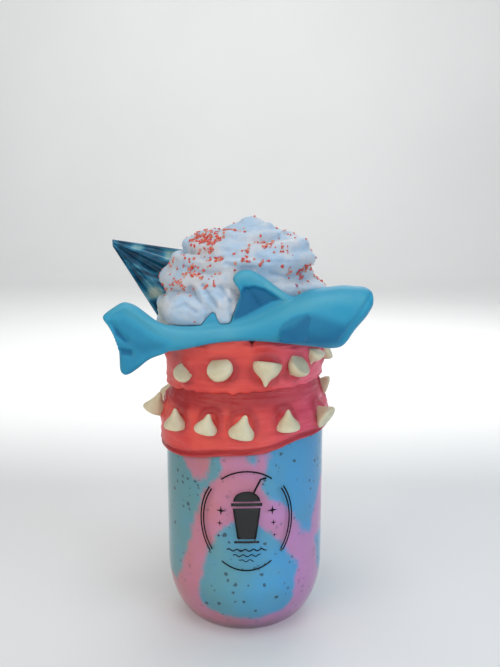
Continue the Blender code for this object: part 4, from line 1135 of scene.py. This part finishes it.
def whippedCream():
    # piped whipped cream: near white with a blue cast, soft satin; painted shade makes it bluer in its folds and a
    # painted warm shade makes it beige low on the left by the candy sheet
    finish, add, place = startMaterial("pipedWhippedCream")
    smooth = {"interpolation_type": "SMOOTHSTEP"}
    broad, grain, swells = (add("ShaderNodeTexNoise", {
        "Vector": place, "Scale": 1 / (size * mm), "Detail": detail, "Roughness": 0.55}).outputs["Fac"]
        for size, detail in ((13, 3.0), (1.0, 3.0), (4.0, 2.0)))
    broad = add("ShaderNodeMapRange", {"Value": broad, "From Min": 0.36, "From Max": 0.64}, **smooth).outputs[0]
    colour = add("ShaderNodeMix", {
        0: broad, 6: creamColours["grey"], 7: creamColours["blue"]}, data_type="RGBA").outputs[2]
    # painted shade in the folds, from the stored fold values
    fold = add("ShaderNodeAttribute", attribute_name="fold").outputs["Fac"]
    colour = add("ShaderNodeMix", {0: fold, 6: colour, 7: creamColours["fold"]}, data_type="RGBA").outputs[2]
    # painted warm shade, strongest round a spot low on the left
    spot = Vector(creamWarmShade["place"]) * mm
    away = add("ShaderNodeVectorMath", {0: place, 1: spot}, operation="DISTANCE").outputs["Value"]
    near, far = (reach * mm for reach in creamWarmShade["reach"])
    warmShade = add("ShaderNodeMapRange", {
        "Value": away, "From Min": near, "From Max": far, "To Min": 0.9, "To Max": 0.0}, **smooth).outputs[0]
    colour = add("ShaderNodeMix", {0: warmShade, 6: colour, 7: creamColours["warmShade"]}, data_type="RGBA").outputs[2]
    froth = add("ShaderNodeBump", {"Height": grain, "Distance": 0.12 * mm}).outputs[0]
    soft = add("ShaderNodeBump", {"Height": swells, "Distance": 0.4 * mm, "Strength": 0.6, "Normal": froth})
    surface = add("ShaderNodeBsdfPrincipled", {
        "Base Color": colour, "Roughness": 0.55, "IOR": 1.4, "Subsurface Weight": 0.35,
        "Subsurface Radius": (0.004, 0.004, 0.0042), "Subsurface Scale": 0.5, "Normal": soft.outputs[0]})
    add("ShaderNodeOutputMaterial", {"Surface": surface.outputs[0]})
    return finish


def makeCream(shark, fan):
    finish = whippedCream()
    shape = bmesh.new()
    rope = pipedRope(finish)
    shape.from_mesh(rope)
    bpy.data.meshes.remove(rope)
    bottom = creamSizes["bottom"]
    plug = [(0, bottom), (creamSizes["plug"], bottom), (creamSizes["plug"], creamSizes["seat"])] + creamCore
    addShape(shape, turned(plug + [(0, creamCore[-1][1])], creamSizes["around"]))
    for x, y, z, radius, height in creamDrops:
        ball = bmesh.new()
        bmesh.ops.create_icosphere(ball, subdivisions=4, radius=mm)
        grow = Matrix.Diagonal((radius, radius, height, 1))
        bmesh.ops.transform(ball, matrix=Matrix.Translation(Vector((x, y, z)) * mm) @ grow, verts=ball.verts)
        addShape(shape, ball)
    data = skinned(shape, "creamSkin", creamSizes["voxel"], creamSizes["smoothing"])
    places, normals = meshPlaces(data), meshNormals(data)
    moveMesh(data, places + normals * creamRise(places / mm, normals)[:, None] * mm)
    seat = turned([(0, 120), (80, 120), (80, creamSizes["seat"]), (creamSizes["plug"], creamSizes["seat"]),
                   (creamSizes["plug"], bottom + 0.2), (0, bottom + 0.2)], creamSizes["around"])
    beds = [scratchObject("seatCut", seat), grownCopy(shark.data, "sharkBed", creamSizes["sharkBed"]),
            grownCopy(fan.data, "fanBed", creamSizes["fanBed"])]
    for bed in beds:
        data = subtract(data, bed)
        bpy.data.objects.remove(bed)
    piece = finishMesh("whippedSwirl", data, finish)
    # painted shade where the surface is sunk
    storeValues(data, "fold", 0.7 * softStep(-creamRise(meshPlaces(data) / mm, meshNormals(data)), 0.0, 1.0))
    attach(piece, "root")
    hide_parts("whipped_cream")
    print("cream made")
    return piece


# Sugar crystals: scattered over the cream, thick on its ledges and in patches.
# A patch is a place on the cream, its radius and how thickly it is covered.
sugarLook = {
    "density": 2200000.0, "spacing": 0.62, "size": 1.22, "seed": 8, "lowest": 157.0, "ledge": 0.009, "clump": 2.6,
    "patches": [(-17.5, -15.5, 197.4, 4.2, 1.0), (-14.0, -19.0, 196.4, 3.4, 0.9), (-22, -11.5, 197.4, 3.6, 0.9),
                (-15.5, -21.5, 192.6, 2.4, 0.9), (-7, -17, 200.4, 3.4, 0.6), (-3, -14, 203, 2.4, 0.4),
                (11, -23, 195.3, 3.2, 0.7), (8, -23, 196, 2.2, 0.5),
                (14.5, -22, 195.5, 2.2, 0.6), (-34.3, -10, 183.6, 2.6, 0.45), (-24, -25, 182.5, 3.2, 0.6),
                (-22, -26, 179, 2.6, 0.5), (-12, -30, 189, 2.2, 0.5), (-29.5, -25, 178, 3.0, 0.55),
                (-33.5, -20, 175.8, 2.4, 0.5), (-14, -32, 179.3, 3.4, 0.6), (-38, -12, 172, 2.6, 0.4),
                (17, -28, 184.5, 2.0, 0.35), (21.3, -24, 182, 2.0, 0.35), (26.5, -18, 179.4, 2.4, 0.5),
                (29, -14.5, 182.7, 2.2, 0.4), (8.2, -32, 187.5, 2.4, 0.3), (1, -32.7, 186.7, 2.8, 0.45),
                (0.5, -26.3, 192.4, 3.0, 0.25), (19, -22.7, 192, 2.6, 0.3), (24.6, -25, 176, 2.0, 0.25),
                (-25, -23.7, 186.6, 2.2, 0.35), (-30, -18.5, 183.2, 2.2, 0.3), (-17, -28.7, 187.2, 2.2, 0.3),
                (-20, 14, 196, 7.0, 0.5), (6, 22, 194, 8.0, 0.35), (24, 12, 188, 7.0, 0.3),
                (-28, 20, 184, 6.0, 0.35), (14, 32, 182, 7.0, 0.25), (-8, 36, 178, 7.0, 0.25),
                (34, 8, 174, 6.0, 0.25), (-38, 4, 174, 5.0, 0.25)],
}


def sugarTree():
    tree, add = startTree("sugarScatter", [
        ("Bed", "Object"), ("Density", "Float"), ("Spacing", "Float"), ("Crystal Size", "Float"), ("Seed", "Int"),
        ("Finish", "Material")])
    source = add("NodeGroupInput").outputs
    bed = add("GeometryNodeObjectInfo", {"Object": source["Bed"]}).outputs["Geometry"]
    thick = add("GeometryNodeInputNamedAttribute", {"Name": "sugar"}, data_type="FLOAT").outputs[0]
    spread = add("GeometryNodeDistributePointsOnFaces", {
        "Mesh": bed, "Distance Min": source["Spacing"], "Density Max": source["Density"], "Density Factor": thick,
        "Seed": source["Seed"]}, distribute_method="POISSON")
    cube = add("GeometryNodeMeshCube", {"Size": (1.0, 0.8, 0.7)}).outputs["Mesh"]
    chip = add("GeometryNodeMeshIcoSphere", {"Radius": 0.55, "Subdivisions": 1}).outputs["Mesh"]
    kinds = add("GeometryNodeGeometryToInstance")
    for shape in (cube, chip):
        tree.links.new(shape, kinds.inputs[0])
    turn = add("FunctionNodeRandomValue", {0: (0, 0, 0), 1: (math.tau, math.tau, math.tau), "Seed": 3},
               data_type="FLOAT_VECTOR").outputs[0]
    size = add("FunctionNodeRandomValue", {2: 0.55, 3: 1.25, "Seed": 4}, data_type="FLOAT").outputs[1]
    size = add("ShaderNodeMath", {0: size, 1: source["Crystal Size"]}, operation="MULTIPLY").outputs[0]
    kind = add("FunctionNodeRandomValue", {4: 0, 5: 1, "Seed": 5}, data_type="INT").outputs[2]
    placed = add("GeometryNodeInstanceOnPoints", {
        "Points": spread.outputs["Points"], "Instance": kinds.outputs[0], "Pick Instance": True,
        "Instance Index": kind, "Rotation": turn, "Scale": size})
    tint = add("FunctionNodeRandomValue", {2: 0.0, 3: 1.0, "Seed": 6}, data_type="FLOAT").outputs[1]
    tinted = add("GeometryNodeStoreNamedAttribute", {
        "Geometry": placed.outputs[0], "Name": "tint", "Value": tint}, data_type="FLOAT", domain="INSTANCE")
    real = add("GeometryNodeRealizeInstances", {0: tinted.outputs[0]})
    painted = add("GeometryNodeSetMaterial", {"Geometry": real.outputs[0], "Material": source["Finish"]})
    add("NodeGroupOutput", {0: painted.outputs[0]})
    return tree


def redSugar():
    # coarse sanding sugar dyed red: small faceted grains, part clear, from coral to pink
    finish, add = startMaterial("redSandingSugar")[:2]
    tint = add("ShaderNodeAttribute", attribute_name="tint").outputs["Fac"]
    colour = add("ShaderNodeValToRGB", {"Fac": tint}, [
        (0.0, "DE4C3C"), (0.4, "E2604E"), (0.7, "E58268"), (0.88, "E3A088"), (1.0, "CE7A92")])
    surface = add("ShaderNodeBsdfPrincipled", {
        "Base Color": colour.outputs[0], "Roughness": 0.3, "IOR": 1.54, "Transmission Weight": 0.08,
        "Subsurface Weight": 0.3, "Subsurface Radius": (0.001, 0.0005, 0.0005), "Subsurface Scale": 0.5})
    add("ShaderNodeOutputMaterial", {"Surface": surface.outputs[0]})
    return finish


def makeSugar(cream):
    data = cream.data
    places, normals = meshPlaces(data) / mm, meshNormals(data)
    ledge = np.clip((normals[:, 2] - 0.1) / 0.6, 0, 1) ** 1.5
    thick = 0.003 + sugarLook["ledge"] * ledge
    for x, y, z, radius, amount in sugarLook["patches"]:
        distance = np.linalg.norm(places - np.array([x, y, z]), axis=1)
        thick += amount * np.exp(-(distance / radius) ** 2)
    clump = np.array([noise.noise(Vector(place) / sugarLook["clump"]) for place in places])
    thick *= np.clip(0.8 + 2.2 * clump, 0, 2)
    thick[places[:, 2] < sugarLook["lowest"]] = 0
    storeValues(data, "sugar", np.clip(thick, 0, 1))
    holder = newItem("sugarHolder", bpy.data.meshes.new("sugarHolder"))
    scatter = holder.modifiers.new("scatter", "NODES")
    scatter.node_group = sugarTree()
    finish = redSugar()
    setInputs(scatter, {
        "Bed": cream, "Density": sugarLook["density"], "Spacing": sugarLook["spacing"] * mm,
        "Crystal Size": sugarLook["size"] * mm, "Seed": sugarLook["seed"], "Finish": finish})
    grains = bakedMesh(holder)
    bpy.data.objects.remove(holder)
    piece = finishMesh("sugarCrystals", grains, finish)
    piece.data.shade_flat()
    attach(piece, "root")
    print("sugar made", len(grains.polygons))


# Badge: a plain printed sign on the glass, in millimetres across the jar's front and up it.
badgeLook = {
    "centre": (1.2, 65.0), "lift": 0.05, "thickness": 0.05, "line": 0.75, "outerArc": (23.0, 26.5),
    "innerArc": (21.6, 25.1), "sideArcs": ((-128, -52), (52, 128)), "endArcs": ((-34, 34), (146, 214)),
    "starSizes": (2.4, 1.5, 1.0), "waves": ((9.6, -14.6), (6.6, -17.4), (3.4, -20.0)),
}


def wrapPlace(across, up, lift):
    out = outward(math.degrees(across / jarSizes["radius"]))
    return (out * (jarSizes["radius"] + lift) + Vector((0, 0, up))) * mm


def addStrip(shape, left, right):
    # a thin printed band between two lines of (across, up)
    centreX, centreZ = badgeLook["centre"]
    layers = []
    for lift in (badgeLook["lift"], badgeLook["lift"] + badgeLook["thickness"]):
        layers.append([[shape.verts.new(wrapPlace(x + centreX, z + centreZ, lift)) for x, z in line]
                       for line in (left, right)])
    (lowLeft, lowRight), (highLeft, highRight) = layers
    for index in range(len(left) - 1):
        following = index + 1
        shape.faces.new((highLeft[index], highRight[index], highRight[following], highLeft[following]))
        shape.faces.new((lowLeft[following], lowRight[following], lowRight[index], lowLeft[index]))
        shape.faces.new((lowLeft[index], highLeft[index], highLeft[following], lowLeft[following]))
        shape.faces.new((highRight[index], lowRight[index], lowRight[following], highRight[following]))
    for index in (0, -1):
        shape.faces.new((lowLeft[index], lowRight[index], highRight[index], highLeft[index]))


def strokeLine(shape, line, width):
    left, right = [], []
    for index, (x, z) in enumerate(line):
        before, after = line[max(index - 1, 0)], line[min(index + 1, len(line) - 1)]
        run = Vector((after[0] - before[0], after[1] - before[1])).normalized() * width / 2
        left.append((x - run.y, z + run.x))
        right.append((x + run.y, z - run.x))
    addStrip(shape, left, right)


def arcLine(radiusX, radiusZ, start, end, steps=48):
    line = []
    for step in range(steps + 1):
        angle = math.radians(blend(start, end, step / steps))
        line.append((radiusX * math.sin(angle), radiusZ * math.cos(angle)))
    return line


def makeBadge():
    shape = bmesh.new()
    width = badgeLook["line"]
    for arc, parts in (("outerArc", "sideArcs"), ("innerArc", "sideArcs"), ("innerArc", "endArcs")):
        for start, end in badgeLook[parts]:
            strokeLine(shape, arcLine(*badgeLook[arc], start, end), width)
    cup = [(-4.2, -9.0), (-4.6, -8.2), (-4.9, -6.0), (-5.6, -1.0), (-6.3, 4.0), (-6.6, 6.6)]
    smooth = splinePoints(cup, 5)
    addStrip(shape, smooth, [(-x, z) for x, z in smooth])
    addStrip(shape, [(-7.4, 7.6), (-7.4, 9.2)], [(7.4, 7.6), (7.4, 9.2)])
    angles = [math.pi * step / 24 for step in range(13)]
    half = [(-6.4 * math.cos(angle), 10.0 + 5.2 * math.sin(angle)) for angle in angles]
    addStrip(shape, half, [(-x, z) for x, z in half[:-1]] + [(half[-1][0] + 0.01, half[-1][1])])
    strokeLine(shape, [(3.0, 14.0), (6.6, 21.0), (9.4, 21.6)], 1.0)
    strokeLine(shape, [(-6.0, -10.6), (6.0, -10.6)], 1.1)
    for side in (-1, 1):
        for step, size in enumerate(badgeLook["starSizes"]):
            addStar(shape, side * (12.4 + 0.6 * step), 5.0 - 6.4 * step, size)
    for row, (span, height) in enumerate(badgeLook["waves"]):
        shares = [step / 60 for step in range(61)]
        wave = [(blend(-span, span, share), height + 0.5 * math.sin(share * span * 3.2)) for share in shares]
        strokeLine(shape, wave, 0.62 - 0.08 * row)
    bmesh.ops.recalc_face_normals(shape, faces=shape.faces)
    piece = meshFromBm("printedBadge", shape, printedInk())
    piece.data.shade_flat()
    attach(piece, "root")
    print("badge made")


def addStar(shape, x, z, size):
    # a four-pointed star of two crossed slim diamonds
    for turn in (0, 1):
        line = [(-size, 0.0), (0.0, 0.0), (size, 0.0)]
        widths = (0.02, size * 0.24, 0.02)
        left = [(a, b + w) for (a, b), w in zip(line, widths)]
        right = [(a, b - w) for (a, b), w in zip(line, widths)]
        if turn:
            left, right = [(-b, a) for a, b in left], [(-b, a) for a, b in right]
        addStrip(shape, [(x + a, z + b) for a, b in left], [(x + a, z + b) for a, b in right])


def printedInk():
    # screen-printed enamel ink on glass: flat black, slightly raised, low gloss
    finish, add, place = startMaterial("blackEnamelPrint")
    wear = add("ShaderNodeTexNoise", {
        "Vector": place, "Scale": 1 / (0.8 * mm), "Detail": 2.0, "Roughness": 0.55}).outputs["Fac"]
    colour = add("ShaderNodeValToRGB", {"Fac": wear}, [(0.3, "06090B"), (0.8, "0D1215")])
    surface = add("ShaderNodeBsdfPrincipled", {
        "Base Color": colour.outputs[0], "Roughness": 0.6, "Specular IOR Level": 0.2})
    add("ShaderNodeOutputMaterial", {"Surface": surface.outputs[0]})
    return finish


def paleFloor():
    # matt painted board, evenly pale
    finish, add, place = startMaterial("paleMattBoard")
    clouds = add("ShaderNodeTexNoise", {
        "Vector": place, "Scale": 1 / (300 * mm), "Detail": 2.0, "Roughness": 0.55}).outputs["Fac"]
    colour = add("ShaderNodeValToRGB", {"Fac": clouds}, [(0.3, "F0F0EF"), (0.7, "F3F3F2")])
    surface = add("ShaderNodeBsdfPrincipled", {"Base Color": colour.outputs[0], "Roughness": 0.8})
    add("ShaderNodeOutputMaterial", {"Surface": surface.outputs[0]})
    return finish


# Studio, in metres.
stageSizes = {"halfWidth": 2.6, "front": -1.6, "back": 1.2, "curve": 0.5, "height": 2.6}
airLook = {"colour": (0.9, 0.94, 1.0, 1), "strength": 0.24}


def makeStage():
    # a floor that sweeps up behind the object
    shape = bmesh.new()
    sizes = stageSizes
    rows = [(sizes["front"], 0.0), (sizes["back"], 0.0)]
    for step in range(1, 13):
        angle = math.pi / 2 * step / 12
        rows.append((sizes["back"] + sizes["curve"] * math.sin(angle), sizes["curve"] * (1 - math.cos(angle))))
    rows.append((sizes["back"] + sizes["curve"], sizes["height"]))
    lines = [[shape.verts.new((x, y, z)) for x in (-sizes["halfWidth"], sizes["halfWidth"])] for y, z in rows]
    for one, other in zip(lines, lines[1:]):
        shape.faces.new((one[0], one[1], other[1], other[0]))
    floor = meshFromBm("studioFloor", shape, paleFloor())


lights = [
    # name, place, aim, size, power, colour
    ("warmBox", (-0.75, -0.75, 0.40), (0, 0, 0.12), 0.6, 2.7, (1.0, 0.82, 0.66)),
    ("coolBox", (0.80, -0.65, 0.40), (0, 0, 0.12), 0.6, 2.8, (0.60, 0.80, 1.0)),
    ("frontBox", (0.0, -1.2, 0.45), (0, 0, 0.12), 0.7, 2.7, (1.0, 0.97, 0.95)),
    ("topBox", (0.0, -0.15, 0.95), (0, 0, 0.12), 0.5, 3.1, (0.92, 0.97, 1.0)),
    ("rearBox", (0.2, 0.7, 0.6), (0, 0, 0.15), 0.6, 1.6, (1.0, 1.0, 1.0)),
    ("backdropBox", (0.0, 0.45, 0.9), (0, 1.7, 0.5), 1.4, 10.0, (1.0, 0.99, 0.98)),
]


def makeLights():
    for name, place, aim, size, power, colour in lights:
        lamp = bpy.data.lights.new(name, "AREA")
        lamp.size = size
        lamp.energy = power
        lamp.color = colour
        item = newItem(name, lamp)
        item.location = place
        item.rotation_euler = (Vector(aim) - Vector(place)).to_track_quat("-Z", "Y").to_euler()
    world = bpy.data.worlds.new("studioAir")
    world.use_nodes = True
    air = world.node_tree.nodes["Background"].inputs
    air["Color"].default_value = airLook["colour"]
    air["Strength"].default_value = airLook["strength"]
    bpy.context.scene.world = world


cameraLook = {"place": (2.75, -391.0, 227.5), "down": 11.5, "lens": 42.85, "sensor": 36.0}


def makeCamera():
    lens = bpy.data.cameras.new("photoCamera")
    lens.sensor_width = cameraLook["sensor"]
    lens.lens = cameraLook["lens"]
    lens.clip_start = 0.01
    item = newItem("photoCamera", lens)
    item.location = Vector(cameraLook["place"]) * mm
    item.rotation_euler = (math.radians(90 - cameraLook["down"]), 0, 0)
    bpy.context.scene.camera = item


makeCamera()
makeStage()
makeLights()
bpy.context.scene.view_settings.view_transform = "Standard"
makeJar()
makeShake()
makeIcing()
makeTeeth()
shark = makeShark()
fan = makeFan()
cream = makeCream(shark, fan)
makeSugar(cream)
makeBadge()
